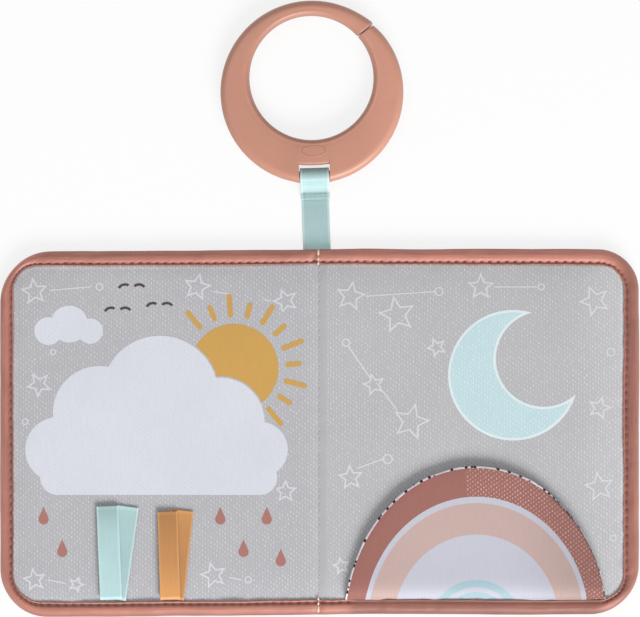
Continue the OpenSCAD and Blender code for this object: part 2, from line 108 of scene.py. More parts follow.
def edge_wander(x, y):
    """How far the top and bottom edges of the book stray from a straight line."""
    return ease(y / 30) * np.interp(x, *TOP_WANDER) - ease(-y / 30) * np.interp(x, *BOTTOM_WANDER)


def inside_tape(x, y):
    """Distance from a point of the page out to the inner edge of the binding, below 0 under it."""
    right, top, left, bottom = TAPE_WIDTHS
    straight = y - edge_wander(x, y)
    to_x = np.minimum(BOOK_X + BOOK_HALF_W - right - x, x - BOOK_X + BOOK_HALF_W - left)
    to_y = np.minimum(PANEL_TOP - top - straight, straight + PANEL_TOP - bottom)
    corner = TAPE_CORNER - np.hypot(np.maximum(TAPE_CORNER - to_x, 0), np.maximum(TAPE_CORNER - to_y, 0))
    return np.where((to_x < TAPE_CORNER) & (to_y < TAPE_CORNER), corner, np.minimum(to_x, to_y))


def page_height(x, y):
    """Top of the page cloth: crowned by batting, tucked under the tape, sunk at the seam and the flap."""
    d = inside_tape(x, y)
    crown = 0.85 * (1 - np.exp(-np.maximum(d, 0) / 6)) - 0.9 * ease((-d - 0.6) / 0.8)
    pucker = soft_noise(x, y, 5.0, 3) * 0.16 * np.exp(-np.maximum(d, 0) / 5)
    wave = soft_noise(x, y, 46, 5) * 0.22 + soft_noise(x, y, 17, 6) * 0.1
    seam = 0.75 * np.exp(-((np.abs(x) / 1.4) ** 1.3))
    seam_pucker = soft_noise(x * 0.4, y, 3.4, 8) * 0.1 * np.exp(-np.abs(x) / 3.5)
    height = PAGE_Z - 0.3 + crown + (pucker + wave * ease(d / 12)) - seam + seam_pucker
    under_flap = 1 - np.hypot((x - FLAP_X) / FLAP_A, (y - FLAP_CENTRE_Y) / FLAP_B)
    return height - np.maximum(height - (FLAP_LOW - 0.15), 0) * ease(under_flap * 9)


def mesh_piece(name, points, faces, materials, indices=None):
    """A smooth mesh object from points in millimetres."""
    mesh = bpy.data.meshes.new(name)
    places = [tuple(float(c) * MM for c in p) for p in points]
    mesh.from_pydata(places, [], [tuple(map(int, f)) for f in faces])
    for material in materials:
        mesh.materials.append(material)
    if indices is not None:
        mesh.polygons.foreach_set("material_index", np.asarray(indices, np.int32))
    mesh.polygons.foreach_set("use_smooth", [True] * len(mesh.polygons))
    mesh.validate()
    mesh.update()
    piece = bpy.data.objects.new(name, mesh)
    bpy.context.scene.collection.objects.link(piece)
    return piece


def grid_faces(rows, columns, wrap_rows=False, wrap_columns=False, start=0, flip=False):
    """Faces between neighbouring points of a grid that is stored row by row."""
    faces = []
    for i in range(rows if wrap_rows else rows - 1):
        for j in range(columns if wrap_columns else columns - 1):
            k, m = (i + 1) % rows, (j + 1) % columns
            face = [i * columns + j, i * columns + m, k * columns + m, k * columns + j]
            faces.append([start + v for v in (face[::-1] if flip else face)])
    return faces


def end_caps(rings, sides, start=0):
    """The two faces that close the ends of a tube of rings."""
    last = start + (rings - 1) * sides
    return [[start + k for k in range(sides)], [last + k for k in reversed(range(sides))]]


def cloth_solid(top, thickness):
    """Closed sheet from a grid of points: its top, its underside and its rim."""
    rows, columns = top.shape[:2]
    under = top.copy()
    under[..., 2] -= thickness
    points = np.concatenate([top.reshape(-1, 3), under.reshape(-1, 3)])
    n = rows * columns
    faces = grid_faces(rows, columns) + grid_faces(rows, columns, start=n, flip=True)
    rim = [*range(columns), *[r * columns + columns - 1 for r in range(1, rows)]]
    rim += [*[n - 1 - c for c in range(1, columns)], *[r * columns for r in range(rows - 2, 0, -1)]]
    for a, b in zip(rim, rim[1:] + rim[:1]):
        faces.append([a, a + n, b + n, b])
    return points, faces


def cloth_grid(step, inset):
    """Grid of points across the open book whose ends follow the rounded corners of the cloth."""
    half_w, half_h = BOOK_HALF_W - inset, PANEL_TOP - inset
    columns, rows = int(2 * half_w / step), int(2 * half_h / step)
    up, across = np.linspace(-half_h, half_h, rows), np.linspace(-half_w, half_w, columns)
    y, x = np.meshgrid(up, across, indexing="ij")
    over = np.clip(np.abs(y) - (half_h - CLOTH_CORNER), 0, CLOTH_CORNER)
    reach = half_w - CLOTH_CORNER + np.sqrt(CLOTH_CORNER**2 - over**2)
    bend = half_w - 2 * CLOTH_CORNER
    outer = np.clip((np.abs(x) - bend) / (half_w - bend), 0, 1)
    x = np.sign(x) * (np.minimum(np.abs(x), bend) + outer * (reach - bend))
    return x + BOOK_X, y


def flat_map(piece, across=(1, 0), up=(0, 1), middle=(0, 0)):
    """UV map in millimetres of the piece as it lies open, which stays with it when it bends or turns."""
    mesh = piece.data
    spots = np.array([(v.co.x / MM - middle[0], v.co.y / MM - middle[1]) for v in mesh.vertices])
    corners = np.empty(len(mesh.loops), np.int32)
    mesh.loops.foreach_get("vertex_index", corners)
    turned = spots @ np.array([across, up], float).T
    mesh.uv_layers.new(name="flat").data.foreach_set("uv", turned[corners].astype(np.float32).ravel())


def set_shade(piece, values, name="shade"):
    """Point attribute that darkens or lightens a piece: painted light and shade along its own folds, rims and
    grooves.
    """
    attribute = piece.data.attributes.new(name, "FLOAT", "POINT")
    attribute.data.foreach_set("value", np.asarray(values, np.float32))


def across_spine(piece):
    """Bakes the piece's placement into its points."""
    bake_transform(piece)


def link(output, socket):
    """Links a node's output to an input of the same tree."""
    socket.id_data.links.new(output, socket)


def node(tree, kind, **values):
    """A shader node with its settings and its unlinked inputs."""
    made = tree.nodes.new(f"ShaderNode{kind}")
    for key, value in values.items():
        if key.startswith("in_"):
            made.inputs[int(key[3:])].default_value = value
        else:
            setattr(made, key, value)
    return made


def feed(tree, socket, value):
    """Sets an input to a value, or links it to another node's output."""
    if isinstance(value, bpy.types.NodeSocket):
        link(value, socket)
    else:
        socket.default_value = value


def math_node(tree, operation, a, b=None, c=None):
    made = node(tree, "Math", operation=operation)
    for k, value in enumerate((a, b, c)):
        if value is not None:
            feed(tree, made.inputs[k], value)
    return made.outputs[0]


FLOAT, COLOR, VECTOR = "NodeSocketFloat", "NodeSocketColor", "NodeSocketVector"
PALE = (0.8, 0.8, 0.8, 1)  # what a group's colour is until a material gives it one


def new_group(name, inputs, outputs):
    """An empty shader node group with named sockets. Inputs are (name, kind, value)."""
    tree = bpy.data.node_groups.new(name, "ShaderNodeTree")
    for label, kind, value in inputs:
        tree.interface.new_socket(label, in_out="INPUT", socket_type=kind).default_value = value
    for label, kind in outputs:
        tree.interface.new_socket(label, in_out="OUTPUT", socket_type=kind)
    return tree, tree.nodes.new("NodeGroupInput"), tree.nodes.new("NodeGroupOutput")


def place_group(tree, group, values):
    """A node group placed in a material, with its own values for the named inputs."""
    placed = node(tree, "Group", node_tree=group)
    for label, value in values.items():
        feed(tree, placed.inputs[label], value)
    return placed


def make_tint_group():
    """A colour times a shade that runs from Low to High as the factor goes from 0.25 to 0.75."""
    tree, into, out = new_group(
        "tint",
        [("Colour", COLOR, PALE), ("Factor", FLOAT, 0.5), ("Low", FLOAT, 0.9), ("High", FLOAT, 1.1)],
        [("Colour", COLOR)],
    )
    shade = node(tree, "MapRange", in_1=0.25, in_2=0.75)
    mix = node(tree, "Mix", data_type="RGBA", blend_type="MULTIPLY", in_0=1.0)
    link(into.outputs["Factor"], shade.inputs[0])
    link(into.outputs["Low"], shade.inputs[3])
    link(into.outputs["High"], shade.inputs[4])
    link(into.outputs["Colour"], mix.inputs[6])
    link(shade.outputs[0], mix.inputs[7])
    link(mix.outputs[2], out.inputs[0])
    return tree


TINT = make_tint_group()


def make_mottle_group():
    """Soft uneven patches of a size of its own: the colour, and the same unevenness as a height."""
    tree, into, out = new_group(
        "mottle",
        [("Colour", COLOR, PALE), ("Patches per m", FLOAT, 60.0), ("Stretch", VECTOR, (1, 1, 1)),
         ("Low", FLOAT, 0.95), ("High", FLOAT, 1.05)],
        [("Colour", COLOR), ("Height", FLOAT)],
    )
    place = node(tree, "TexCoord").outputs["Object"]
    squeeze = node(tree, "VectorMath", operation="MULTIPLY")
    noise = node(tree, "TexNoise", in_3=3.0)
    link(place, squeeze.inputs[0])
    link(into.outputs["Stretch"], squeeze.inputs[1])
    link(squeeze.outputs[0], noise.inputs[0])
    link(into.outputs["Patches per m"], noise.inputs[2])
    tint = place_group(tree, TINT, {"Colour": into.outputs["Colour"], "Factor": noise.outputs[0],
                                    "Low": into.outputs["Low"], "High": into.outputs["High"]})
    link(tint.outputs[0], out.inputs[0])
    link(noise.outputs[0], out.inputs[1])
    return tree


def make_weave_group():
    """Plain weave: threads over and under, as a height, and a shade that varies from thread to thread."""
    tree, into, out = new_group(
        "cloth_weave",
        [("Thread mm", FLOAT, 0.45), ("Unevenness", FLOAT, 0.5)],
        [("Height", FLOAT), ("Shade", FLOAT)],
    )
    place = node(tree, "UVMap", uv_map="flat").outputs[0]
    split = node(tree, "SeparateXYZ")
    link(place, split.inputs[0])
    wobble = node(tree, "TexNoise", in_2=0.9, in_3=2.0)
    link(place, wobble.inputs[0])
    shake = math_node(tree, "MULTIPLY", math_node(tree, "SUBTRACT", wobble.outputs[0], 0.5), into.outputs[1])
    turns = math_node(tree, "DIVIDE", math.pi, into.outputs[0])
    phases = [math_node(tree, "MULTIPLY_ADD", split.outputs[k], turns, shake) for k in (0, 1)]
    waves = [math_node(tree, "SINE", phase) for phase in phases]
    height = math_node(tree, "MULTIPLY_ADD", math_node(tree, "MULTIPLY", *waves), 0.5, 0.5)
    link(height, out.inputs[0])
    squeeze = node(tree, "VectorMath", operation="MULTIPLY")
    squeeze.inputs[1].default_value = (1.5, 0.12, 1)
    slub = node(tree, "TexNoise", in_2=1.0, in_3=1.0)
    link(place, squeeze.inputs[0])
    link(squeeze.outputs[0], slub.inputs[0])
    link(slub.outputs[0], out.inputs[1])
    return tree


DASH_INPUTS = {"Column mm": 1.2, "Pitch mm": 2.0, "Step": 0.4, "Width mm": 0.5, "Length mm": 1.1,
               "Fading": 0.6, "Bare from mm": 0.0, "Bare to mm": 0.0}


def make_dash_group():
    """Short upright dashes in columns, each a step lower than the one before, as a worn uneven mask."""
    tree, into, out = new_group(
        "printed_dashes",
        [(label, FLOAT, value) for label, value in DASH_INPUTS.items()],
        [("Mask", FLOAT)],
    )
    place = node(tree, "UVMap", uv_map="flat").outputs[0]
    drift = node(tree, "TexNoise", in_2=0.35, in_3=1.0)
    link(place, drift.inputs[0])
    nudge = node(tree, "VectorMath", operation="SUBTRACT")
    nudge.inputs[1].default_value = (0.5, 0.5, 0.5)
    link(drift.outputs["Color"], nudge.inputs[0])
    moved = node(tree, "VectorMath", operation="MULTIPLY_ADD")
    moved.inputs[1].default_value = (0.9, 0.9, 0)
    link(nudge.outputs[0], moved.inputs[0])
    link(place, moved.inputs[2])
    split = node(tree, "SeparateXYZ")
    link(moved.outputs[0], split.inputs[0])
    far = 400.0
    column_at = math_node(tree, "DIVIDE", split.outputs[0], into.outputs["Column mm"])
    column_at = math_node(tree, "ADD", column_at, far)
    column = math_node(tree, "FLOOR", column_at)
    row_at = math_node(tree, "DIVIDE", split.outputs[1], into.outputs["Pitch mm"])
    row_at = math_node(tree, "MULTIPLY_ADD", column, into.outputs["Step"], row_at)
    row_at = math_node(tree, "ADD", row_at, far)
    row = math_node(tree, "FLOOR", row_at)
    powers = []
    for at, cell, pitch, size in ((column_at, column, "Column mm", "Width mm"),
                                  (row_at, row, "Pitch mm", "Length mm")):
        part = math_node(tree, "SUBTRACT", math_node(tree, "SUBTRACT", at, cell), 0.5)
        part = math_node(tree, "MULTIPLY", part, into.outputs[pitch])
        share = math_node(tree, "MULTIPLY", math_node(tree, "DIVIDE", part, into.outputs[size]), 2.0)
        powers.append(math_node(tree, "POWER", math_node(tree, "ABSOLUTE", share), 2.0))
    ragged = node(tree, "TexNoise", in_2=2.4, in_3=1.0)
    link(place, ragged.inputs[0])
    rough = math_node(tree, "MULTIPLY_ADD", ragged.outputs[0], 1.4, -0.7)
    edge = math_node(tree, "ADD", math_node(tree, "ADD", *powers), rough)
    dash = node(tree, "MapRange", in_1=1.7, in_2=0.3, in_3=0.0, in_4=1.0)
    link(edge, dash.inputs[0])
    key = node(tree, "CombineXYZ")
    link(column, key.inputs[0])
    link(row, key.inputs[1])
    chance = node(tree, "TexWhiteNoise")
    link(key.outputs[0], chance.inputs[0])
    lost = math_node(tree, "MULTIPLY", chance.outputs[0], into.outputs["Fading"])
    kept = math_node(tree, "SUBTRACT", 1.0, lost)
    past = math_node(tree, "GREATER_THAN", split.outputs[0], into.outputs["Bare to mm"])
    before = math_node(tree, "LESS_THAN", split.outputs[0], into.outputs["Bare from mm"])
    printed = math_node(tree, "MULTIPLY", math_node(tree, "MAXIMUM", past, before), kept)
    link(math_node(tree, "MULTIPLY", dash.outputs[0], printed), out.inputs[0])
    return tree


def make_form_group():
    """A colour times the piece's own point attribute 'shade': painted light and shade that follows its folds,
    rims and grooves.
    """
    tree, into, out = new_group("form_shade", [("Colour", COLOR, PALE)], [("Colour", COLOR)])
    mix = node(tree, "Mix", data_type="RGBA", blend_type="MULTIPLY", in_0=1.0)
    link(into.outputs[0], mix.inputs[6])
    link(node(tree, "Attribute", attribute_name="shade").outputs["Fac"], mix.inputs[7])
    link(mix.outputs[2], out.inputs[0])
    return tree


FORM = make_form_group()
MOTTLE = make_mottle_group()
WEAVE = make_weave_group()
DASHES = make_dash_group()


def linear(rgb):
    """Shader colour from an 8-bit screen colour."""
    shares = [c / 255 for c in rgb]
    return (*[s / 12.92 if s <= 0.04045 else ((s + 0.055) / 1.055) ** 2.4 for s in shares], 1.0)


def tinted(tree, colour, factor, low, high):
    """A colour whose shade follows the factor."""
    return place_group(tree, TINT, {"Colour": colour, "Factor": factor, "Low": low, "High": high}).outputs[0]


def mottled(tree, colour, patches, low, high, stretch=(1, 1, 1)):
    """A softly uneven colour, and its unevenness as a height."""
    return place_group(tree, MOTTLE, {"Colour": colour, "Patches per m": patches, "Stretch": stretch,
                                      "Low": low, "High": high}).outputs


def mixed(tree, mask, under, over):
    """One colour laid over another through a mask."""
    mix = node(tree, "Mix", data_type="RGBA")
    for socket, value in zip((0, 6, 7), (mask, under, over)):
        feed(tree, mix.inputs[socket], value)
    return mix.outputs[2]


def add_bump(tree, shader, heights):
    """Chains bumps of (height, distance in mm, strength) into the shader's normal."""
    last = None
    for height, distance, strength in heights:
        bump = node(tree, "Bump")
        bump.inputs["Strength"].default_value = strength
        bump.inputs["Distance"].default_value = distance * MM
        link(height, bump.inputs["Height"])
        if last:
            link(last, bump.inputs["Normal"])
        last = bump.outputs[0]
    link(last, shader.inputs["Normal"])


def new_material(name, roughness, **sockets):
    material = bpy.data.materials.new(name)
    material.use_nodes = True
    shader = material.node_tree.nodes["Principled BSDF"]
    shader.inputs["Roughness"].default_value = roughness
    for label, value in sockets.items():
        shader.inputs[label.replace("_", " ")].default_value = value
    return material, material.node_tree, shader


def printed_cloth(name, colour, dashes=None, dash_colour=(207, 207, 211), bare=(0.0, 0.0), relief=0.05,
                  shaded=False):
    """Printed cotton: the ink's colour over a fine weave, with or without light dashes."""
    material, tree, shader = new_material(name, 0.88, Sheen_Weight=0.12, Sheen_Roughness=0.5)
    weave = place_group(tree, WEAVE, {"Thread mm": 0.42, "Unevenness": 1.4})
    ink = tinted(tree, linear(colour), weave.outputs["Shade"], 0.975, 1.025)
    ink = mottled(tree, ink, 28.0, 0.975, 1.025)[0]
    ink = tinted(tree, ink, weave.outputs["Height"], 0.94, 1.02)
    if dashes:
        values = dict(zip(DASH_INPUTS, (*dashes, *bare)))
        ink = mixed(tree, place_group(tree, DASHES, values).outputs["Mask"], ink, linear(dash_colour))
    # Shaded pieces get painted light and shade from their 'shade' attribute
    if shaded:
        ink = place_group(tree, FORM, {"Colour": ink}).outputs[0]
    link(ink, shader.inputs["Base Color"])
    creases = mottled(tree, linear(colour), 420.0, 1.0, 1.0)[1]
    add_bump(tree, shader, [(weave.outputs["Height"], relief, 0.5), (creases, 0.12, 0.35)])
    return material


PAGE_DASHES = (1.225, 2.0, 0.41, 0.52, 1.15, 0.75)
SEAM_STRIP = (0.7, 3.7)
left_page_ink = printed_cloth("left_page_grey", (181, 180, 184), PAGE_DASHES, shaded=True)
right_page_ink = printed_cloth("right_page_grey", (183, 183, 185), PAGE_DASHES, bare=SEAM_STRIP, shaded=True)
page_x, page_y = cloth_grid(1.25, CLOTH_INSET)
page_top = np.stack([page_x, page_y, page_height(page_x, page_y)], axis=-1)
page_points, page_faces = cloth_solid(page_top, CLOTH_T)
page_edge = np.array([float(inside_tape(p[0], p[1])) for p in page_points])
# Painted light: lighter along the tape's inner edge and over the right end of the right page
page_light = 1 + 0.3 * np.exp(-((page_edge / 0.9) ** 2)) + 0.09 * ease((page_points[:, 0] - 105) / 25)
page_sides = [int(sum(page_points[v][0] for v in face) > 0) for face in page_faces]
page = mesh_piece("page_cloth", page_points, page_faces, [left_page_ink, right_page_ink], page_sides)
flat_map(page)
set_shade(page, page_light)
across_spine(page)
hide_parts("right_page_cloth", "left_page_cloth")

# Cover cloth
# The same plain grey cotton, without the print, closes the back of the book.
# It lies flat on whatever the open book rests on, and is caught under the binding like the page cloth.
COVER_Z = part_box("right_cover_cloth")[1].z / MM


def cover_height(x, y):
    """Top of the cover cloth: it sags to the floor between the binding's edges."""
    d = inside_outline(x, y, BINDING_W, PAGE_CORNER)
    sag = 0.55 * ease(d / 8) * ease(np.abs(x) / 5)
    return COVER_Z + 0.05 - sag + soft_noise(x, y, 6.0, 12) * 0.1 * np.exp(-np.maximum(d, 0) / 4)


cover_ink = printed_cloth("cover_grey", (184, 183, 186))
cover_x, cover_y = cloth_grid(2.2, CLOTH_INSET)
cover_top = np.stack([cover_x, cover_y, cover_height(cover_x, cover_y)], axis=-1)
cover = mesh_piece("cover_cloth", *cloth_solid(cover_top, CLOTH_T), [cover_ink])
flat_map(cover)
across_spine(cover)
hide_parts("right_cover_cloth", "left_cover_cloth")

# Batting
# Soft white polyester batting fills each panel between the two cloths and can't be seen.
# It stops short of the binding all round, and the spine seam squeezes it flat.
BATTING_INSET = 4.8
batting, tree, shader = new_material("batting_white", 0.95)
fibres = mottled(tree, linear((238, 237, 232)), 1400.0, 0.94, 1.04, (1, 0.2, 1))
link(fibres[0], shader.inputs["Base Color"])
add_bump(tree, shader, [(fibres[1], 0.3, 0.6)])
fill_x, fill_y = cloth_grid(3.0, BATTING_INSET)
fill_top = page_height(fill_x, fill_y) - CLOTH_T - 0.05
fill_low = cover_height(fill_x, fill_y) + 0.05
fill_points, fill_faces = cloth_solid(np.stack([fill_x, fill_y, fill_top], axis=-1), 0)
fill_points[len(fill_points) // 2:, 2] = np.minimum(fill_low, fill_top - 0.1).ravel()
filling = mesh_piece("batting", fill_points, fill_faces, [batting])
across_spine(filling)
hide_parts("right_padding", "left_padding")

# Binding
# A dusty rose tape of smooth faux leather, folded round the raw edges of both panels.
# Its roll is soft and slightly uneven, and the stitches pull a shallow groove along its inner edge.
STITCH_PITCH = 3.5
STITCH_SHARE = 0.17
# Corner by corner from the upper right: outer radius, inner radius (the tape narrows as it turns)
TAPE_CORNERS = [(17.5, 10.3), (21.9, 9.2), (20.5, 12.0), (21.2, 10.3)]
MEAN_CORNER = 20


def tape_paths(step):
    """Matching points along the tape's outer and inner edge, going round from the right edge."""
    right, top, left, bottom = TAPE_WIDTHS
    inner_box = {(1, 1): (right, top), (-1, 1): (left, top),
                 (-1, -1): (left, bottom), (1, -1): (right, bottom)}
    arcs = []
    for quarter, ((sx, sy), (r_out, r_in)) in enumerate(zip(inner_box, TAPE_CORNERS)):
        turn = np.radians(90 * quarter + np.linspace(0, 90, int(MEAN_CORNER * math.pi / 2 / step) + 1))
        way = np.stack([np.cos(turn), np.sin(turn)], axis=1)
        in_x, in_y = inner_box[(sx, sy)]
        outer = np.array([BOOK_X + sx * (BOOK_HALF_W - r_out), sy * (PANEL_TOP - r_out)]) + r_out * way
        inner_mid = np.array([BOOK_X + sx * (BOOK_HALF_W - in_x - r_in), sy * (PANEL_TOP - in_y - r_in)])
        arcs.append(np.stack([outer, inner_mid + r_in * way], axis=1))
    paths = []
    for k, arc in enumerate(arcs):
        paths.append(arc)
        start, end = arc[-1], arcs[(k + 1) % 4][0]
        count = int(np.linalg.norm(end[0] - start[0]) / step)
        t = np.linspace(0, 1, count + 1)[1:-1, None, None]
        paths.append(start * (1 - t) + end * t)
    paths = np.concatenate(paths)
    paths[:, :, 1] += edge_wander(paths[:, :1, 0], paths[:, :1, 1])
    outer, inner = paths[:, 0], paths[:, 1]
    gaps = np.linalg.norm(np.roll(outer, -1, axis=0) - outer, axis=1)
    return outer, inner, np.concatenate([[0], np.cumsum(gaps)[:-1]]), gaps.sum()


def beside_flap(x, y):
    """1 along the bottom edge where it holds the flap and its stitches don't show, 0 elsewhere."""
    return ease((FLAP_A - np.abs(x - FLAP_X)) / 6) * (y < 0)


def along_noise(lengths, total, cell, seed):
    """Smooth noise along the closed edge, which meets itself at the end."""
    turn = 2 * math.pi * lengths / total
    reach = total / (2 * math.pi)
    return soft_noise(reach * np.cos(turn), reach * np.sin(turn), cell, seed)


# Section of the tape from its page-side edge, round the outside, to its cover-side edge and back inside:
# (share of the width, height as a share of the edge's thickness, how much the groove moves it)
TAPE_SECTION = [
    (0.00, 0.86, 0.0), (0.00, 0.945, 0.0), (0.02, 0.985, 0.0), (0.06, 0.995, 0.1), (0.10, 0.97, 0.6),
    (0.14, 0.945, 1.0), (0.18, 0.945, 1.0), (0.23, 0.97, 0.55), (0.30, 1.02, 0.1), (0.40, 1.05, 0.0),
    (0.52, 1.05, 0.0), (0.64, 1.01, 0.0), (0.75, 0.92, 0.0), (0.85, 0.79, 0.0), (0.93, 0.64, 0.0),
    (0.985, 0.49, 0.0), (0.985, 0.34, 0.0), (0.935, 0.19, 0.0), (0.85, 0.085, 0.0), (0.72, 0.02, 0.0),
    (0.55, 0.0, 0.0), (0.36, 0.0, 0.0), (0.25, 0.02, -0.3), (0.185, 0.05, -1.0), (0.12, 0.02, -0.4),
    (0.04, 0.01, 0.0), (0.0, 0.03, 0.0), (0.0, 0.13, 0.0), (0.35, 0.14, 0.0), (0.66, 0.25, 0.0),
    (0.7, 0.5, 0.0), (0.66, 0.75, 0.0), (0.35, 0.845, 0.0),
]
PAGE_SIDE_END = 17  # the section's points before this one face the page side
# How dark the tape is across its page side, by edge: painted shade in the groove along its inner edge, and
# painted light and shade across its roll
SHADE_SHARES = (0.0, 0.06, 0.12, 0.19, 0.3, 0.45, 0.6, 0.75, 0.88, 0.96, 1.0)
TAPE_PAINTED_SHADE = {
    (0, 1): (0.9, 0.86, 0.83, 0.95, 1.1, 1.08, 1.08, 1.12, 1.1, 0.9, 0.76),
    (-1, 0): (0.84, 0.76, 0.84, 0.8, 0.82, 0.95, 1.0, 1.06, 1.04, 1.0, 0.92),
    (0, -1): (1.12, 1.12, 0.74, 0.78, 0.92, 1.05, 1.0, 0.93, 0.82, 0.72, 0.64),
    (1, 0): (1.0, 0.96, 0.76, 0.78, 0.8, 0.78, 0.8, 0.84, 0.88, 0.86, 0.78),
}
# The same, as painted shade, where the flap is caught in the bottom edge and covers it
SHADE_BY_FLAP = (0.76, 0.68, 0.68, 0.82, 0.88, 0.83, 0.77, 0.73, 0.7, 0.63, 0.53)


def swept_map(piece, across, along, total):
    """UV map in millimetres of a swept piece: U goes across its section and V along it."""
    layer = piece.data.uv_layers.new(name="sweep")
    n, rows = len(across), len(along)
    for face in piece.data.polygons:
        closing = any(v >= (rows - 1) * n for v in face.vertices)
        for corner in face.loop_indices:
            i, k = divmod(piece.data.loops[corner].vertex_index, n)
            layer.data[corner].uv = (across[k], total if closing and i == 0 else along[min(i, rows - 1)])


def build_binding():
    outer, inner, lengths, total = tape_paths(0.7)
    x = outer[:, 0]
    plain = 1 - 0.85 * beside_flap(x, outer[:, 1])
    grip = (0.5 + 0.5 * np.cos(2 * math.pi * lengths / STITCH_PITCH)) ** 1.5 * plain
    groove = 0.12 * plain + 0.35 * grip + 0.06 * along_noise(lengths, total, 9, 22) * plain
    swell = 1 + 0.05 * along_noise(lengths, total, 14, 23) + 0.03 * along_noise(lengths, total, 4, 24)
    swell *= 1 - 0.16 * np.exp(-((x / 1.4) ** 2))
    edge = along_noise(lengths, total, 30, 25) * 0.25 + along_noise(lengths, total, 7, 26) * 0.07
    away = (outer - inner) / np.linalg.norm(outer - inner, axis=1)[:, None]
    lip = along_noise(lengths, total, 24, 21) * 0.2 + along_noise(lengths, total, 4.5, 27) * 0.16 - 0.2 * grip
    lip += 0.35 * np.tanh(x / 25) * (away[:, 1] > 0.9)
    weights = {side: np.maximum(away @ np.array(side, float), 0) ** 2 for side in TAPE_PAINTED_SHADE}
    rings, shades = [], []
    for k, (share, height, groove_share) in enumerate(TAPE_SECTION):
        place = inner + (outer - inner) * share + away * (edge * share - lip * (1 - share) ** 3)[:, None]
        z = EDGE_T * height * (swell if height > 0.3 else 1) - groove * groove_share
        rings.append(np.concatenate([place, np.maximum(z, 0.02)[:, None]], axis=1))
        painted_shade = sum(np.interp(share, SHADE_SHARES, values) * weights[side] for side, values in TAPE_PAINTED_SHADE.items())
        flap_shade = np.interp(share, SHADE_SHARES, SHADE_BY_FLAP)
        painted_shade = painted_shade * plain + flap_shade * (1 - plain)
        # Painted shade in the dents where each stitch pulls the groove down, and plain painted shade on the
        # cover side
        dent_shade = 1 - 0.16 * grip * math.exp(-(((share - STITCH_SHARE) / 0.09) ** 2))
        shades.append(painted_shade**2.2 * dent_shade if 0 < k < PAGE_SIDE_END else np.full(len(x), 0.85))
    count, across = len(x), len(rings)
    points = np.stack(rings, axis=1).reshape(-1, 3)
    return points, grid_faces(count, across, True, True), np.stack(shades, axis=1).ravel(), lengths, total


def make_streak_group():
    """Fine streaks that run along a swept piece, as a height."""
    inputs = [("Across mm", FLOAT, 0.4), ("Along mm", FLOAT, 15.0)]
    tree, into, out = new_group("streaks", inputs, [("Height", FLOAT)])
    split = node(tree, "SeparateXYZ")
    link(node(tree, "UVMap", uv_map="sweep").outputs[0], split.inputs[0])
    join = node(tree, "CombineXYZ")
    for k in (0, 1):
        link(math_node(tree, "DIVIDE", split.outputs[k], into.outputs[k]), join.inputs[k])
    noise = node(tree, "TexNoise", in_2=1.0, in_3=3.0)
    link(join.outputs[0], noise.inputs[0])
    link(noise.outputs[0], out.inputs[0])
    return tree


STREAKS = make_streak_group()

tape, tree, shader = new_material("binding_rose", 0.46, Specular_IOR_Level=0.35, Coat_Weight=0.05,
                                  Coat_Roughness=0.4)
streaks = place_group(tree, STREAKS, {"Across mm": 0.38, "Along mm": 17.0}).outputs[0]
faux_leather = linear((192, 128, 114))
rose_base, grain = mottled(tree, faux_leather, 1900.0, 0.95, 1.04)
rose_base, patches = mottled(tree, rose_base, 60.0, 0.95, 1.05)
rose_base = tinted(tree, rose_base, streaks, 0.84, 1.12)
# Painted light and shade from the tape's 'shade' attribute
rose_base = place_group(tree, FORM, {"Colour": rose_base}).outputs[0]
link(rose_base, shader.inputs["Base Color"])
pillows = mottled(tree, faux_leather, 260.0, 1.0, 1.0)[1]
add_bump(tree, shader, [(grain, 0.05, 0.4), (streaks, 0.22, 0.4), (pillows, 0.2, 0.3)])
tape_points, tape_faces, tape_shades, tape_lengths, tape_total = build_binding()
binding = mesh_piece("binding", tape_points, tape_faces, [tape])
swept_map(binding, [s * BINDING_W + h * 5 for s, h, _ in TAPE_SECTION], tape_lengths, tape_total)
set_shade(binding, tape_shades)
across_spine(binding)
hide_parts("right_binding", "left_binding")

# Binding stitches
# One row of tone on tone lockstitch through the tape and both panels, seen on both faces.
# Each stitch is a short length of thread, pulled deep into the groove of the tape.


def thread_material(name, colour):
    material, tree, shader = new_material(name, 0.6, Sheen_Weight=0.3)
    twist, ply = mottled(tree, linear(colour), 2600.0, 0.85, 1.1)
    link(twist, shader.inputs["Base Color"])
    add_bump(tree, shader, [(ply, 0.08, 0.6)])
    return material


def thread_stitch(points, faces, middle, along, length, radius, up, dip):
    """Adds one stitch: a round thread, bowed up in the middle, whose ends sink into the cloth."""
    rings, sides, start = 7, 6, len(points)
    side = np.array([-along[1], along[0], 0.0])
    along3 = np.array([along[0], along[1], 0.0])
    for i in range(rings):
        t = 2 * i / (rings - 1) - 1
        thin = radius * (1 - 0.45 * t**4)
        centre = middle + along3 * (t * length / 2) + np.array([0, 0, up * (dip * (0.25 - t * t))])
        for k in range(sides):
            a = 2 * math.pi * k / sides
            points.append(centre + side * thin * math.cos(a) + np.array([0, 0, thin * math.sin(a)]))
    faces += grid_faces(rings, sides, False, True, start, flip=True)
    faces += end_caps(rings, sides, start)


def build_binding_stitches():
    points, faces = [], []
    outer, inner, lengths, total = tape_paths(0.4)
    for i in range(int(total / STITCH_PITCH)):
        k = int(np.argmin(np.abs(lengths - i * STITCH_PITCH)))
        if abs(outer[k, 0]) < 1.4:
            continue
        along = inner[(k + 1) % len(inner)] - inner[k - 1]
        along = along / np.linalg.norm(along)
        place = inner[k] + (outer[k] - inner[k]) * STITCH_SHARE
        sunk = 0.35 * float(beside_flap(*outer[k]))
        for z, up in ((EDGE_T * 0.945 - 0.3 - sunk, 1), (0.36, -1)):
            thread_stitch(points, faces, np.array([*place, z]), along, 1.7, 0.26, up, 0.3)
    return points, faces


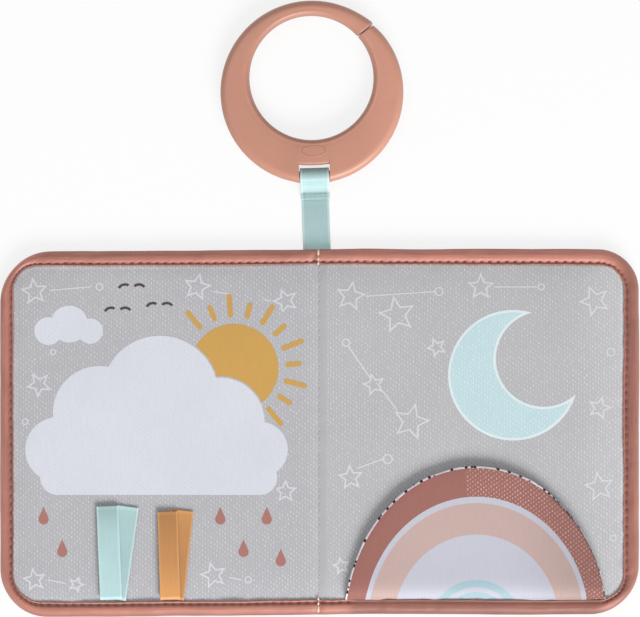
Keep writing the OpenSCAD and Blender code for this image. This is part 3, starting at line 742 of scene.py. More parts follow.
# The thread is coloured much darker than the tape: painted shade of the dents it sinks into
rose_thread = thread_material("rose_thread", (124, 68, 56))
binding_stitches = mesh_piece("binding_stitches", *build_binding_stitches(), [rose_thread])
across_spine(binding_stitches)
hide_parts("right_binding_stitches", "left_binding_stitches")

# Spine seam
# One line of cream lockstitch sews the two panels together down the spine.
# On the grey cloth its needle holes stand out, and the thread shows where it crosses the binding.
SEAM_PITCH = 3.1
SEAM_X = 0.45
SEAM_COUNT = int(-2 * PAGE_EDGE_Y / SEAM_PITCH)
THREAD_X = 0.15
# The cream stitches across the binding: distance from the book's edge, length and height over the tape's
CREAM_STITCHES = ((6.3, 1.5, 0.9), (4.4, 1.5, 0.95), (1.9, 2.9, 0.9))


def build_spine_stitches():
    points, faces, kinds = [], [], []
    for i in range(SEAM_COUNT):
        y = (i + 0.5 - SEAM_COUNT / 2) * SEAM_PITCH
        for z, up in ((float(page_height(SEAM_X, y)) + 0.02, 1), (0.6, -1)):
            thread_stitch(points, faces, np.array([SEAM_X, y, z]), (0, 1), SEAM_PITCH * 0.72, 0.2, up, 0.3)
    kinds += [1] * len(faces)
    before = len(faces)
    for side in (-1, 1):
        for back, length, z in CREAM_STITCHES:
            y = side * (PANEL_TOP - back)
            thread_stitch(points, faces, np.array([THREAD_X, y, EDGE_T * z]), (0, 1), length, 0.42, 1, 0.35)
            thread_stitch(points, faces, np.array([THREAD_X, y, 0.3]), (0, 1), length, 0.25, -1, 0.1)
    kinds += [0] * (len(faces) - before)
    return points, faces, kinds


def build_needle_holes():
    """Small pits between the stitches, where the thread goes down through the cloth, coloured dark grey as
    painted shade.
    """
    points, faces, sides = [], [], 10
    for i in range(SEAM_COUNT + 1):
        y = (i - SEAM_COUNT / 2) * SEAM_PITCH
        start = len(points)
        points.append(np.array([SEAM_X, y, float(page_height(SEAM_X, y)) - 0.1]))
        for k in range(sides):
            a = 2 * math.pi * k / sides
            px, py = SEAM_X + 0.32 * math.cos(a), y + 0.5 * math.sin(a)
            points.append(np.array([px, py, float(page_height(px, py)) + 0.09]))
        faces += [[start, start + 1 + k, start + 1 + (k + 1) % sides] for k in range(sides)]
    return points, faces


cream_thread = thread_material("cream_thread", (248, 222, 204))
grey_thread = thread_material("grey_thread", (178, 177, 181))
# Dark grey: painted shade inside the needle holes
hole_shade = thread_material("needle_hole", (96, 95, 101))
stitch_points, stitch_faces, stitch_kinds = build_spine_stitches()
spine_stitches = mesh_piece("spine_stitches", stitch_points, stitch_faces, [cream_thread, grey_thread],
                            stitch_kinds)
needle_holes = mesh_piece("needle_holes", *build_needle_holes(), [hole_shade])
for seam_piece in (spine_stitches, needle_holes):
    across_spine(seam_piece)
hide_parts("spine_stitches")

# Printed motifs
# Flat fields of ink on the page cloth: a cloud, a sun, drops and birds on the left page, a moon on the right.
# Each follows the outline of its solid and lies on the crowned cloth, with the same weave under the ink.
INK_LIFT = 0.05
PRINT_CELL = 2.2


def draped_print(name, nodes, material):
    """A thin skin of ink with the outline of CAD print nodes, draped over the page cloth."""
    outline, print_boxes, trees = [], [], []
    for source in nodes:
        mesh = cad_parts[source].data
        high = max(v.co.z for v in mesh.vertices)
        keep = [p for p in mesh.polygons if p.normal.z > 0.9 and abs(p.center.z - high) < 0.01 * MM]
        flat = [Vector((v.co.x / MM, v.co.y / MM, 0)) for v in mesh.vertices]
        trees.append(BVHTree.FromPolygons(flat, [list(p.vertices) for p in keep]))
        counts = {}
        for p in keep:
            ring = [(round(flat[v].x, 3), round(flat[v].y, 3)) for v in p.vertices]
            for a, b in zip(ring, ring[1:] + ring[:1]):
                if a != b:
                    counts[(a, b)] = counts.get((a, b), 0) + 1
        outline += [(a, b) for (a, b) in counts if (b, a) not in counts]
        xs, ys = [f.x for f in flat], [f.y for f in flat]
        print_boxes.append((min(xs), min(ys), max(xs), max(ys)))
    index, coords, edges = {}, [], []

    def point(p):
        key = (round(p[0], 3), round(p[1], 3))
        if key not in index:
            index[key] = len(coords)
            coords.append(Vector(key))
        return index[key]

    for a, b in outline:
        count = max(1, int(math.dist(a, b) / PRINT_CELL))
        steps = [tuple(p + (q - p) * k / count for p, q in zip(a, b)) for k in range(count + 1)]
        for p, q in zip(steps, steps[1:]):
            edges.append((point(p), point(q)))

    def covered(x, y):
        ray = Vector((x, y, 1)), Vector((0, 0, -1))
        return any(tree.ray_cast(*ray)[0] is not None for tree in trees)

    for x0, y0, x1, y1 in print_boxes:
        for gx in np.arange(x0 + PRINT_CELL * 0.37, x1, PRINT_CELL):
            for gy in np.arange(y0 + PRINT_CELL * 0.41, y1, PRINT_CELL):
                if covered(gx, gy):
                    point((gx, gy))
    made = geometry.delaunay_2d_cdt(coords, edges, [], 0, 1e-5)
    verts, tris = made[0], made[2]
    kept = [t for t in tris if covered(sum(verts[v].x for v in t) / 3, sum(verts[v].y for v in t) / 3)]
    used = sorted({v for t in kept for v in t})
    remap = {v: k for k, v in enumerate(used)}
    xs, ys = np.array([verts[v].x for v in used]), np.array([verts[v].y for v in used])
    points = np.stack([xs, ys, page_height(xs, ys) + INK_LIFT], axis=1)
    piece = mesh_piece(name, points, [[remap[v] for v in t] for t in kept], [material])
    flat_map(piece)
    across_spine(piece)
    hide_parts(*nodes)


WHITE_SPECKS = (1.225, 2.0, 0.41, 0.4, 0.5, 1.0)
# For each print: its pages, its ink and the ink's colour, and its dashes with their colour where it has any
PRINTS = {
    "cloud_print": (["left"], "white", (217, 219, 228), (WHITE_SPECKS, (198, 199, 207))),
    "sun_print": (["left"], "gold", (205, 160, 84), ()),
    "drop_print": (["left"], "rose", (172, 118, 108), ()),
    "bird_print": (["left"], "brown", (80, 66, 66), ()),
    "moon_print": (["right"], "moon", (192, 218, 223), (PAGE_DASHES, (212, 232, 235))),
    "moon_edge_print": (["right"], "moon_edge", (222, 233, 236), ()),
    "line_print": (["left", "right"], "line", (213, 213, 219), ()),
}
for name, (sides, ink, colour, dashes) in PRINTS.items():
    material = printed_cloth(f"{ink}_ink", colour, *dashes, relief=0.03)
    draped_print(name, [f"{side}_{name}" for side in sides], material)

# Satin ribbon
# Single-face polyester satin with a firm selvedge along both edges.
# The loops are folded in half, creased at the top, and caught in the bottom binding of the left page.


def make_rib_group():
    """Fine ribs straight across a ribbon, as a height."""
    tree, into, out = new_group("satin_ribs", [("Rib mm", FLOAT, 0.3)], [("Height", FLOAT)])
    split = node(tree, "SeparateXYZ")
    link(node(tree, "UVMap", uv_map="sweep").outputs[0], split.inputs[0])
    turns = math_node(tree, "DIVIDE", 2 * math.pi, into.outputs[0])
    ribs = math_node(tree, "SINE", math_node(tree, "MULTIPLY", split.outputs[1], turns))
    link(ribs, out.inputs[0])
    return tree


RIBS = make_rib_group()


def satin(name, colour, edge_colour):
    """Satin with its selvedges a little lighter."""
    material, tree, shader = new_material(name, 0.42, Anisotropic=0.5, Sheen_Weight=0.2, Coat_Weight=0.08,
                                          Coat_Roughness=0.4)
    ribs = place_group(tree, RIBS, {"Rib mm": 0.32}).outputs[0]
    streaks = place_group(tree, STREAKS, {"Across mm": 0.4, "Along mm": 14.0}).outputs[0]
    body = tinted(tree, linear(colour), streaks, 0.95, 1.05)
    body = mottled(tree, body, 120.0, 0.97, 1.03)[0]
    # Painted light and shade from the ribbon's 'shade' attribute
    body = place_group(tree, FORM, {"Colour": body}).outputs[0]
    selvedge = node(tree, "Attribute", attribute_name="selvedge")
    body = mixed(tree, selvedge.outputs["Fac"], body, linear(edge_colour))
    link(body, shader.inputs["Base Color"])
    tangent = node(tree, "Tangent", direction_type="UV_MAP", uv_map="sweep")
    link(tangent.outputs[0], shader.inputs["Tangent"])
    add_bump(tree, shader, [(ribs, 0.02, 0.35)])
    return material


RIBBON_T = 0.28


def ribbon_piece(name, centre, across, width, material, shade):
    """A ribbon along centre points: across is the direction of its width, shade its painted light and shade
    on the way.
    """
    centre = np.array(centre, float)
    width = np.broadcast_to(width, len(centre))[:, None]
    along = np.gradient(centre, axis=0)
    along /= np.linalg.norm(along, axis=1)[:, None]
    normal = np.cross(across, along)
    normal /= np.linalg.norm(normal, axis=1)[:, None]
    shares = np.array([-0.5, -0.49, -0.47, -0.44, -0.41, -0.25, 0, 0.25, 0.41, 0.44, 0.47, 0.49, 0.5])
    thick = RIBBON_T * np.array([0.25, 0.9, 1.2, 1.15, 0.9, 0.85, 0.85, 0.85, 0.9, 1.15, 1.2, 0.9, 0.25])
    section = [(s, t / 2) for s, t in zip(shares, thick)]
    section += [(s, -half) for s, half in section[::-1]]
    points = np.stack([centre + across * (s * width) + normal * h for s, h in section], axis=1)
    count, n = points.shape[:2]
    faces = grid_faces(count, n, False, True, flip=True) + end_caps(count, n)
    piece = mesh_piece(name, points.reshape(-1, 3), faces, [material])
    lengths = np.concatenate([[0], np.cumsum(np.linalg.norm(np.diff(centre, axis=0), axis=1))])
    swept_map(piece, [s * float(width[0, 0]) for s, _ in section], lengths, lengths[-1])
    edge = np.clip((np.abs([s for s, _ in section]) - 0.42) / 0.02, 0, 1)
    set_shade(piece, np.tile(edge * 0.6, count), "selvedge")
    set_shade(piece, np.repeat(np.broadcast_to(shade, count), n))
    return piece


SATINS = {
    "mint_satin": satin("mint_satin", (180, 211, 212), (204, 229, 228)),
    "copper_satin": satin("copper_satin", (206, 146, 88), (216, 163, 108)),
}


def loop_path(root_x, height, lean, base, bulge, seed):
    """Side view of a folded loop: up the front, over the crease and down the back."""
    turn = math.radians(lean)
    up = np.array([-math.sin(turn), math.cos(turn), 0])
    root = np.array([root_x, PAGE_EDGE_Y - 0.4, 0])
    rise = np.linspace(0, 1, 26)
    front = [(t * (height - 0.5), base + 0.45 + bulge * math.sin(math.pi * t) ** 1.3 - 1.35 * max(0, 0.2 - t))
             for t in rise]
    crease = [(height - 0.5 + 0.42 * math.sin(a), base + 0.3 + 0.27 * math.cos(a))
              for a in np.radians([25, 60, 90, 120, 155])]
    back = [(t * (height - 0.5), base + 0.05) for t in rise[::-1]]
    side = [*front, *crease, *back]
    ripple = soft_noise(np.array([s for s, _ in side]), seed * 31.0, 9, seed) * 0.08
    path = [root + up * s + np.array([0, 0, h + r]) for (s, h), r in zip(side, ripple)]
    return path, np.array([up[1], -up[0], 0])


# For each loop: root x, height, lean, width, lift, bulge, seed and painted light and shade up its front
LOOPS = {
    "mint_loop_back": (-87.2, 40.4, -7.8, 9.3, 0.0, 0.15, 32, (0.95, 0.88, 0.9, 0.96)),
    "mint_loop_front": (-88.9, 40.3, 2.3, 9.4, 0.75, 0.45, 31, (1.05, 1.04, 0.98, 0.7)),
    "copper_loop_back": (-61.9, 38.6, -5.9, 8.7, 0.0, 0.15, 34, (0.9, 0.86, 0.9, 1.0)),
    "copper_loop_front": (-63.5, 38.0, 1.8, 8.6, 0.75, 0.45, 33, (1.2, 0.97, 0.84, 0.7)),
}
for name, (x, height, lean, width, lift, bulge, seed, light) in LOOPS.items():
    slot = name.split("_")[0] + "_satin"
    base = float(page_height(x, PAGE_EDGE_Y + 20)) + 0.15 + lift
    path, across = loop_path(x, height, lean, base, bulge, seed)
    # Painted light and shade along the loop: as listed up the front, painted shade at the crease and on the
    # back leg
    climb = np.interp(np.arange(len(path)), [0, 9, 18, 26, 28, 30, 57], [*light, 1.0, 0.62, 0.7])
    loop = ribbon_piece(name, path, across, width, SATINS[slot], climb)
    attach(loop, "left_panel")
    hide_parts(name)

# Tether ribbon
# The same mint satin, 12 mm wide. It leaves from behind the top of the spine, goes up behind the ring's bar,
# comes forward through the slot, and is sewn to itself below the ring with a folded hem.
TETHER_ROOT = np.array([-0.5, PANEL_TOP, 0])
TETHER_LEAN = math.radians(1.8)
TETHER_UP = np.array([-math.sin(TETHER_LEAN), math.cos(TETHER_LEAN), 0])
TETHER_ACROSS = np.array([math.cos(TETHER_LEAN), math.sin(TETHER_LEAN), 0])
RING_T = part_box("hanging_ring")[1].z / MM
BAR_R = 2.5
TURN_R = BAR_R + 0.3 + 0.15
TURN_RISE = 3.65
BAR_AT = 31.0
HEM_AT, HEM_L = 21.3, 3.1


def tether_side():
    """Side view of the ribbon from its tail to the folded end of its hem: (place, height, painted light and
    shade, width).
    """
    low = RING_T / 2 - TURN_R
    side = []
    for s in np.arange(-5.5, 20, 1.2):
        # Painted light near the tail, where the binding's shadow falls on it
        near = math.exp(-max(s, 0) / 4)
        side.append((s, low + 0.12 * math.sin(s / 5) + 1.3 * near, 0.9 - 0.004 * s + 0.25 * near, 11.9))
    side += [(s, low, 0.8, 12.1) for s in np.arange(20.4, BAR_AT - 0.4, 1.0)]
    slope = math.radians(52)
    for a in np.radians(np.linspace(-90, 90 + math.degrees(slope) - 3, 30)):
        reach = TURN_RISE if math.cos(a) > 0 else TURN_R
        # Painted shade round the turn behind the bar
        light = 0.68 + 0.26 * ease((math.degrees(a) - 40) / 60)
        side.append((BAR_AT + reach * math.cos(a), RING_T / 2 + TURN_R * math.sin(a), light, 12.5))
    end_s, end_h = side[-1][:2]
    hem_top = low + 0.85
    for t in np.linspace(0.12, 1, 9):
        s = end_s + (HEM_AT + HEM_L - end_s) * t
        fall = t + 0.25 * math.sin(math.pi * t) * (1 - t)
        # Painted shade along the folds of the hem
        side.append((s, end_h + (hem_top - end_h) * fall, 0.98 - 0.26 * t**3, 12.5))
    side += [(HEM_AT + HEM_L * (1 - t), hem_top + 0.06 * math.sin(math.pi * t), light, 12.5)
             for t, light in ((0.25, 0.74), (0.5, 0.82), (0.75, 0.86), (0.9, 0.8))]
    side += [(HEM_AT - 0.12, hem_top - 0.12, 0.66, 12.5), (HEM_AT + 0.05, hem_top - 0.3, 0.6, 12.5)]
    side += [(HEM_AT + HEM_L * t, hem_top - 0.36, 0.7, 12.4) for t in (0.2, 0.5, 0.8)]
    return side


tether_path = [TETHER_ROOT + TETHER_UP * s + np.array([0, 0, h]) for s, h, _, _ in tether_side()]
tether_shade = [light for _, _, light, _ in tether_side()]
tether_width = [w for _, _, _, w in tether_side()]
tether = ribbon_piece("tether_ribbon", tether_path, TETHER_ACROSS, tether_width, SATINS["mint_satin"],
                      tether_shade)
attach(tether, "right_panel")
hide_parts("tether_ribbon")

mint_thread = thread_material("mint_thread", (150, 192, 190))
hem_points, hem_faces = [], []
for row in (0.3, 0.72):
    for k in range(5):
        at = TETHER_ROOT + TETHER_UP * (HEM_AT + row * HEM_L) + TETHER_ACROSS * ((k - 2) * 2.2)
        at = at + np.array([0, 0, RING_T / 2 - TURN_R + 1.02])
        thread_stitch(hem_points, hem_faces, at, TETHER_ACROSS[:2], 1.7, 0.12, 1, 0.12)
hem_stitches = mesh_piece("tether_stitches", hem_points, hem_faces, [mint_thread])
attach(hem_stitches, "right_panel")
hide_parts("tether_stitches")

# Flap
# A small padded arch, sewn face to lining, turned, and caught in the bottom binding of the right page.
# The lining is white with small black spots and rolls to the front as a narrow edge round the arch.
FLAP_TUCK = 0.9
LINING_ROLL = 0.75
FLAP_RIM_Z = FLAP_LOW + 3.45
# Bands from the outside in: (half width, height above the centre, name of the band inside it)
FLAP_BANDS = [
    (56.2, 67.7, "rose"), (48.5, 55.4, "light"), (46.5, 52.7, "peach"), (35.7, 39.2, "light"),
    (19.8, 19.8, "mint"), (16.6, 16.6, "light"), (14.4, 14.4, "mint"), (11.6, 11.6, None),
]
# The lining's roll from the underside out and up to the face: (growth of the arch in mm, height)
LINING_SIDE = [
    (-9.0, 0.0), (-5.0, 0.3), (-2.4, 0.8), (-0.9, 1.25),
    (-0.15, 1.65), (0.05, 1.95), (-0.1, 2.15), (-0.45, 2.28),
]
FLAP_STEPS = 128
SPOTTED_RINGS = 5  # faces of the roll that show the lining's spots as short dashes


def flap_top_z(x, y, d):
    """Height of the padded face, d inside the edge of the arch, pulled down where the binding holds it."""
    crown = 0.22 * (1 - np.exp(-np.maximum(d, 0) / 1.5)) + 0.15 * ease(d / 22)
    wave = soft_noise(x, y, 19, 41) * 0.12 * ease(d / 5) + soft_noise(x, y, 4.5, 42) * 0.05 * np.exp(-d / 5)
    full = FLAP_RIM_Z + crown + wave
    held = np.exp(-np.maximum(y - PAGE_EDGE_Y, 0) / 2.4)
    return full + (EDGE_T * 0.93 - full) * held


def build_flap():
    rings, kinds = [], []
    names = ["lining", "rose", "light", "peach", "mint", "spot"]
    outer_a, outer_b = FLAP_BANDS[0][:2]

    def arc(a, b):
        low = math.asin(min(1.0, (FLAP_DROP - FLAP_TUCK) / b))
        t = np.linspace(low, math.pi - low, FLAP_STEPS + 1)
        return FLAP_X + a * np.cos(t), FLAP_CENTRE_Y + b * np.sin(t)

    for grow, height in LINING_SIDE:
        x, y = arc(outer_a + grow, outer_b + grow)
        turn = np.arctan2(y - FLAP_CENTRE_Y, x - FLAP_X)
        out_x, out_y = np.cos(turn), np.sin(turn)
        roll = LINING_ROLL * (1 - 0.85 * ease((out_x - 0.3) / 0.5))
        x, y = x + out_x * roll, y + out_y * roll
        wobble = soft_noise(turn * 60, 0 * turn, 6, 43) * 0.2 * (height > 0.4)
        z = FLAP_LOW + height * (FLAP_RIM_Z - FLAP_LOW) / 2.3
        held = np.exp(-np.maximum(y - PAGE_EDGE_Y, 0) / 2.2)
        z = z + np.minimum(EDGE_T * 0.9 - z, 0) * held
        rings.append(np.stack([x + out_x * wobble, y + out_y * wobble, z], axis=1))
    lining_rings = len(rings)
    for (a0, b0, kind), (a1, b1, _) in zip(FLAP_BANDS, FLAP_BANDS[1:]):
        count = max(2, int((b0 - b1) / 1.2))
        for k in range(count + (a1 < 12)):
            t = k / count
            a, b = a0 + (a1 - a0) * t, b0 + (b1 - b0) * t
            x, y = arc(a, b)
            d = np.full_like(x, 0.5 * ((outer_a - a) + (outer_b - b)))
            rings.append(np.stack([x, y, flap_top_z(x, y, d)], axis=1))
            kinds.append(kind)
    columns = FLAP_STEPS + 1
    points = np.concatenate([*rings, [[FLAP_X, PAGE_EDGE_Y + 8, FLAP_LOW]]])
    spots = set(np.cumsum(np.random.default_rng(47).integers(2, 10, FLAP_STEPS)))
    faces = grid_faces(len(rings), columns, flip=True)
    indices = []
    for i in range(len(rings) - 1):
        kind = "lining" if i < lining_rings else kinds[i - lining_rings]
        row = [names.index(kind)] * (columns - 1)
        if lining_rings - SPOTTED_RINGS < i < lining_rings:
            row = [names.index("spot") if j in spots else index for j, index in enumerate(row)]
        indices += row
    middle = len(points) - 1
    faces += [[j, j + 1, middle] for j in range(columns - 1)]
    left = [i * columns for i in range(len(rings))]
    right = [i * columns + columns - 1 for i in range(len(rings))]
    faces.append([middle, *right, *reversed(left)])
    return points, faces, indices + [0] * columns


def lining_cloth():
    """White cotton lining with small black spots scattered over it."""
    material, tree, shader = new_material("lining_spotted", 0.85, Sheen_Weight=0.1)
    cells = node(tree, "TexVoronoi", in_2=430.0)
    link(node(tree, "TexCoord").outputs["Object"], cells.inputs["Vector"])
    spot = node(tree, "MapRange", in_1=0.31, in_2=0.25, in_3=0.0, in_4=1.0)
    link(cells.outputs["Distance"], spot.inputs[0])
    white, nap = mottled(tree, linear((236, 232, 238)), 1500.0, 0.96, 1.04)
    link(mixed(tree, spot.outputs[0], white, linear((24, 22, 26))), shader.inputs["Base Color"])
    add_bump(tree, shader, [(nap, 0.05, 0.4)])
    return material


FLAP_DOTS = (1.135, 1.9, 0.587, 0.56, 0.75, 0.6)
PLAIN_UP_TO = 63.2
flap_inks = [
    lining_cloth(),
    printed_cloth("flap_rose", (160, 106, 97), FLAP_DOTS, (212, 180, 173), (0.0, PLAIN_UP_TO), shaded=True),
    printed_cloth("flap_light", (196, 197, 209), shaded=True),
    printed_cloth("flap_peach", (198, 171, 165), shaded=True),
    printed_cloth("flap_mint", (166, 193, 202), shaded=True),
    printed_cloth("lining_spot", (20, 18, 22), relief=0.03),
]
flap_points, flap_faces, flap_kinds = build_flap()
flap = mesh_piece("flap", flap_points, flap_faces, flap_inks, flap_kinds)
flat_map(flap)
# The flap's inks darken towards the right of the arch and a little towards its foot
flap_side = ease((flap_points[:, 0] - FLAP_X - 5) / 48)
flap_foot = ease((PAGE_EDGE_Y + 25 - flap_points[:, 1]) / 25)
set_shade(flap, 1 - 0.2 * flap_side - 0.06 * flap_foot)
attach(flap, "right_panel")
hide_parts("flap_lining", "flap_face", "flap_padding", "flap_rose_band", "flap_peach_band",
            "flap_mint_arch")

# Hanging ring
# One moulding of dusty copper plastic: a crescent ring with rounded rims and a split at its upper right.
# The ribbon turns round the plain bar below its slot, and the small oval panel above the slot is bare.
RING_AT = 67.4
RING_MID = TETHER_ROOT + TETHER_UP * RING_AT
RING_R, HOLE_R, HOLE_SHIFT = 39.4, 26.7, 6.1
SLOT_HALF, SLOT_TOP, SLOT_SAG = 6.65, -31.1, 0.4
SPLIT_OUTER, SPLIT_INNER = math.radians(46.15), math.radians(40.0)
SPLIT_HALF_GAP = 0.2
RIM_OUT, RIM_IN = 3.2, 2.1
RING_SHARES = (1 - np.cos(np.linspace(0, math.pi, 29))) / 2


def rounded(distance, width):
    """Quarter round: 0 at the rim and 1 from a width inside it."""
    near = np.clip(np.asarray(distance, float), 0, width)
    return np.sqrt(np.maximum(1 - (1 - near / width) ** 2, 0))


def ring_column(outer, inner, end, slot_side=False):
    """One closed section of the ring, from its outer rim to its hole and back underneath, with its painted
    light and shade.
    """
    place = outer + (inner - outer) * RING_SHARES[:, None]
    from_out = place[:, 1] - outer[1] if slot_side else np.linalg.norm(outer) - np.linalg.norm(place, axis=1)
    to_hole = np.linalg.norm(place - np.array([0, HOLE_SHIFT]), axis=1) - HOLE_R
    to_hole = to_hole - to_hole[-1]
    half = rounded(from_out, 0.8 if slot_side else RIM_OUT) * rounded(to_hole, RIM_IN)
    half = half - 0.09 * (2 * RING_SHARES - 1) ** 2 * half
    half = half - 0.035 * np.exp(-(((to_hole - RIM_IN - 0.5) / 0.4) ** 2))
    half = np.maximum(half, 0) * (1 - 0.2 * (1 - rounded(end, 0.7))) * RING_T / 2
    # Painted light and shade: a highlight on the crease, darker rims, a darker inner chamfer, darker split
    # ends and a lighter right side
    crease = np.exp(-(((to_hole - RIM_IN) / 0.3) ** 2))
    shade = (1 + 0.16 * crease) * (1 - 0.3 * np.exp(-from_out / 0.4)) * (1 - 0.4 * np.exp(-to_hole / 0.35))
    shade = shade * (1 - 0.08 * (to_hole < RIM_IN)) * (1 - 0.35 * math.exp(-end / 0.25))
    shade = shade * (1 + 0.1 * ease((place[:, 0] + 5) / 30))
    top = np.column_stack([place, RING_T / 2 + half])
    under = np.column_stack([place, RING_T / 2 - half])
    return np.concatenate([top, under[-2:0:-1]]), np.concatenate([shade, shade[-2:0:-1]])


def hole_point(angle):
    return np.array([HOLE_R * math.cos(angle), HOLE_SHIFT + HOLE_R * math.sin(angle)])


def arm_columns(sign):
    """Sections of one arm from the split to the slot. The arm with sign 1 goes round over the top."""
    slot_angle = math.atan2(-math.sqrt(RING_R**2 - SLOT_HALF**2), -sign * SLOT_HALF) % (2 * math.pi)
    slot_angle = slot_angle if sign > 0 else slot_angle - 2 * math.pi
    span = abs(slot_angle - SPLIT_OUTER) * RING_R - SPLIT_HALF_GAP
    ends = [0, 0.06, 0.15, 0.28, 0.45, 0.7, 1.0, 1.4, 1.9, 2.6, 3.5, 4.6]
    ends += list(np.linspace(6, span, int(span / 1.4)))
    slot_turn = math.acos(SLOT_HALF / HOLE_R)
    slot_inner = (math.pi + slot_turn) if sign > 0 else -slot_turn
    columns = []
    for end in ends:
        angle = SPLIT_OUTER + sign * (end + SPLIT_HALF_GAP) / RING_R
        gap = SPLIT_HALF_GAP * (1 / HOLE_R - 1 / RING_R) * sign
        inner_angle = angle + gap + (SPLIT_INNER - SPLIT_OUTER) * math.exp(-((end / 9.5) ** 2))
        inner_angle += (slot_inner - slot_angle) * math.exp(-(((span - end) / 8) ** 2))
        corner = 1.3 if sign > 0 else 0.6
        bulge = 0.4 * math.exp(-end / 5) * (1 if sign > 0 else -1)
        radius = RING_R + bulge - corner * 0.8 * (1 - float(rounded(end, corner)))
        inner = hole_point(inner_angle)
        outer = radius * np.array([math.cos(angle), math.sin(angle)])
        inner = inner + (outer - inner) / np.linalg.norm(outer - inner) * 0.4 * (1 - float(rounded(end, 0.6)))
        columns.append(ring_column(outer, inner, end))
    return columns


def slot_columns():
    columns = []
    for x in np.linspace(-SLOT_HALF, SLOT_HALF, 25):
        low = SLOT_TOP - SLOT_SAG * (1 - (x / SLOT_HALF) ** 2)
        inner = np.array([x, HOLE_SHIFT - math.sqrt(HOLE_R**2 - x * x)])
        columns.append(ring_column(np.array([x, low]), inner, 9, slot_side=True))
    return columns


def build_ring():
    """The two arms, the bridge above the slot and the round bar below it, all in the ring's own place."""
    points, faces, shades = [], [], []
    for columns, flip in ((arm_columns(1), False), (arm_columns(-1), True), (slot_columns(), False)):
        start, n = len(points), len(columns[0][0])
        for place, shade in columns:
            points += list(place)
            shades += list(shade)
        faces += grid_faces(len(columns), n, False, True, start, flip=flip)
        faces += [cap[::-1] if flip else cap for cap in end_caps(len(columns), n, start)]
    start, sides = len(points), 24
    for x in (-SLOT_HALF - 0.8, SLOT_HALF + 0.8):
        for k in range(sides):
            a = 2 * math.pi * k / sides
            bar_y = BAR_AT - RING_AT + BAR_R * math.cos(a)
            points.append(np.array([x, bar_y, RING_T / 2 + BAR_R * math.sin(a)]))
            # Painted shade on the bar
            shades.append(0.9)
    faces += grid_faces(2, sides, False, True, start)
    faces += [cap[::-1] for cap in end_caps(2, sides, start)]
    placed = [RING_MID + TETHER_ACROSS * p[0] + TETHER_UP * p[1] + np.array([0, 0, p[2]]) for p in points]
    return placed, faces, shades


def make_oval_group():
    """The outline of the small oval panel, as a shallow groove and a faint shade."""
    tree, into, out = new_group("oval_panel", [("Half width mm", FLOAT, 5.1), ("Half height mm", FLOAT, 2.3),
                                               ("Up mm", FLOAT, -25.5)], [("Mask", FLOAT)])
    split = node(tree, "SeparateXYZ")
    link(node(tree, "UVMap", uv_map="flat").outputs[0], split.inputs[0])
    across = math_node(tree, "DIVIDE", split.outputs[0], into.outputs[0])
    up = math_node(tree, "SUBTRACT", split.outputs[1], into.outputs[2])
    up = math_node(tree, "DIVIDE", up, into.outputs[1])
    squares = math_node(tree, "ADD", *[math_node(tree, "MULTIPLY", side, side) for side in (across, up)])
    off = math_node(tree, "ABSOLUTE", math_node(tree, "SUBTRACT", math_node(tree, "SQRT", squares), 1.0))
    line = node(tree, "MapRange", in_1=0.0, in_2=0.1, in_3=1.0, in_4=0.0)
    link(off, line.inputs[0])
    link(line.outputs[0], out.inputs[0])
    return tree


plastic, tree, shader = new_material("ring_copper", 0.42, Coat_Weight=0.15, Coat_Roughness=0.3)
oval = place_group(tree, make_oval_group(), {}).outputs[0]
flow_colour = mottled(tree, linear((193, 137, 117)), 45.0, 0.95, 1.05, (1, 0.5, 1))[0]
flow_colour, grain = mottled(tree, flow_colour, 700.0, 0.98, 1.02)
flow_colour = tinted(tree, flow_colour, oval, 1.04, 0.86)
# Painted light and shade from the ring's 'shade' attribute
link(place_group(tree, FORM, {"Colour": flow_colour}).outputs[0], shader.inputs["Base Color"])
engraved = math_node(tree, "SUBTRACT", 1.0, oval)
add_bump(tree, shader, [(grain, 0.03, 0.25), (engraved, 0.2, 0.6)])
ring_points, ring_faces, ring_shades = build_ring()
ring = mesh_piece("hanging_ring_plastic", ring_points, ring_faces, [plastic])
ring.data.set_sharp_from_angle(angle=math.radians(50))
set_shade(ring, ring_shades)
flat_map(ring, TETHER_ACROSS[:2], TETHER_UP[:2], RING_MID[:2])
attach(ring, "ring")
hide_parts("hanging_ring")

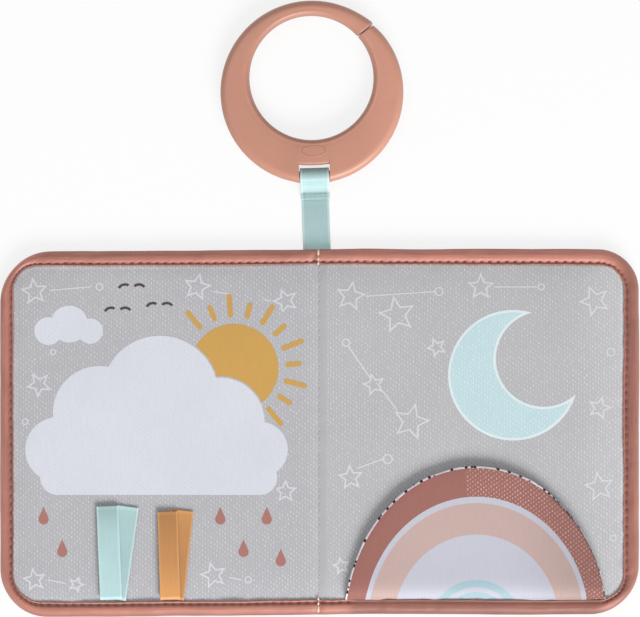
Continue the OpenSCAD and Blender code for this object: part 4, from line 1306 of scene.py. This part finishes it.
# Floor, light and camera
# A plain white floor under soft studio light, seen from straight above as in the photograph.
SHADOWLESS = 0.8  # share of plain white in the floor, which keeps the rest of the shadow
floor_material, tree, shader = new_material("floor_white", 0.9)
shader.inputs["Base Color"].default_value = (0.93, 0.93, 0.93, 1)
seen = node(tree, "LightPath").outputs
seen_by = math_node(tree, "MAXIMUM", seen["Is Camera Ray"],
                    math_node(tree, "MAXIMUM", seen["Is Glossy Ray"], seen["Is Transmission Ray"]))
plain_white = node(tree, "Emission")
paper = node(tree, "MixShader")
link(math_node(tree, "MULTIPLY", seen_by, SHADOWLESS), paper.inputs[0])
link(shader.outputs[0], paper.inputs[1])
link(plain_white.outputs[0], paper.inputs[2])
link(paper.outputs[0], tree.nodes["Material Output"].inputs[0])
floor_mesh = bpy.data.meshes.new("floor")
floor_mesh.from_pydata([(-3, -3, 0), (3, -3, 0), (3, 3, 0), (-3, 3, 0)], [], [(0, 1, 2, 3)])
floor_mesh.materials.append(floor_material)
floor = bpy.data.objects.new("floor", floor_mesh)
floor.location.z = -0.0002
bpy.context.scene.collection.objects.link(floor)

world = bpy.data.worlds.new("studio")
world.use_nodes = True
background = world.node_tree.nodes["Background"]
background.inputs["Color"].default_value = (1, 1, 1, 1)
background.inputs["Strength"].default_value = 0.42
bpy.context.scene.world = world


def softbox(name, place, size, watts):
    lamp = bpy.data.lights.new(name, "AREA")
    lamp.shape, lamp.size, lamp.size_y = "RECTANGLE", *size
    lamp.energy = watts
    box = bpy.data.objects.new(name, lamp)
    box.location = place
    box.rotation_euler = (Vector((0, 0.05, 0)) - Vector(place)).to_track_quat("-Z", "Y").to_euler()
    bpy.context.scene.collection.objects.link(box)


softbox("key_softbox", (1.0, -2.4, 1.5), (2.2, 1.2), 105)
softbox("fill_softbox", (-0.8, 0.6, 1.3), (0.9, 0.9), 3.4)

MM_PER_PIXEL = 0.43
SPINE_PX, ORIGIN_PY = 318, 431
IMAGE_W, IMAGE_H = 640, 617
LENS = 135
camera_data = bpy.data.cameras.new("camera")
camera_data.lens = LENS
camera = bpy.data.objects.new("camera", camera_data)
centre_x = (IMAGE_W / 2 - SPINE_PX) * MM_PER_PIXEL * MM
centre_y = (ORIGIN_PY - IMAGE_H / 2) * MM_PER_PIXEL * MM
distance = IMAGE_W * MM_PER_PIXEL * MM * LENS / camera_data.sensor_width
camera.location = (centre_x, centre_y, distance + EDGE_T * MM)
bpy.context.scene.collection.objects.link(camera)
bpy.context.scene.camera = camera
bpy.context.scene.view_settings.view_transform = "Standard"
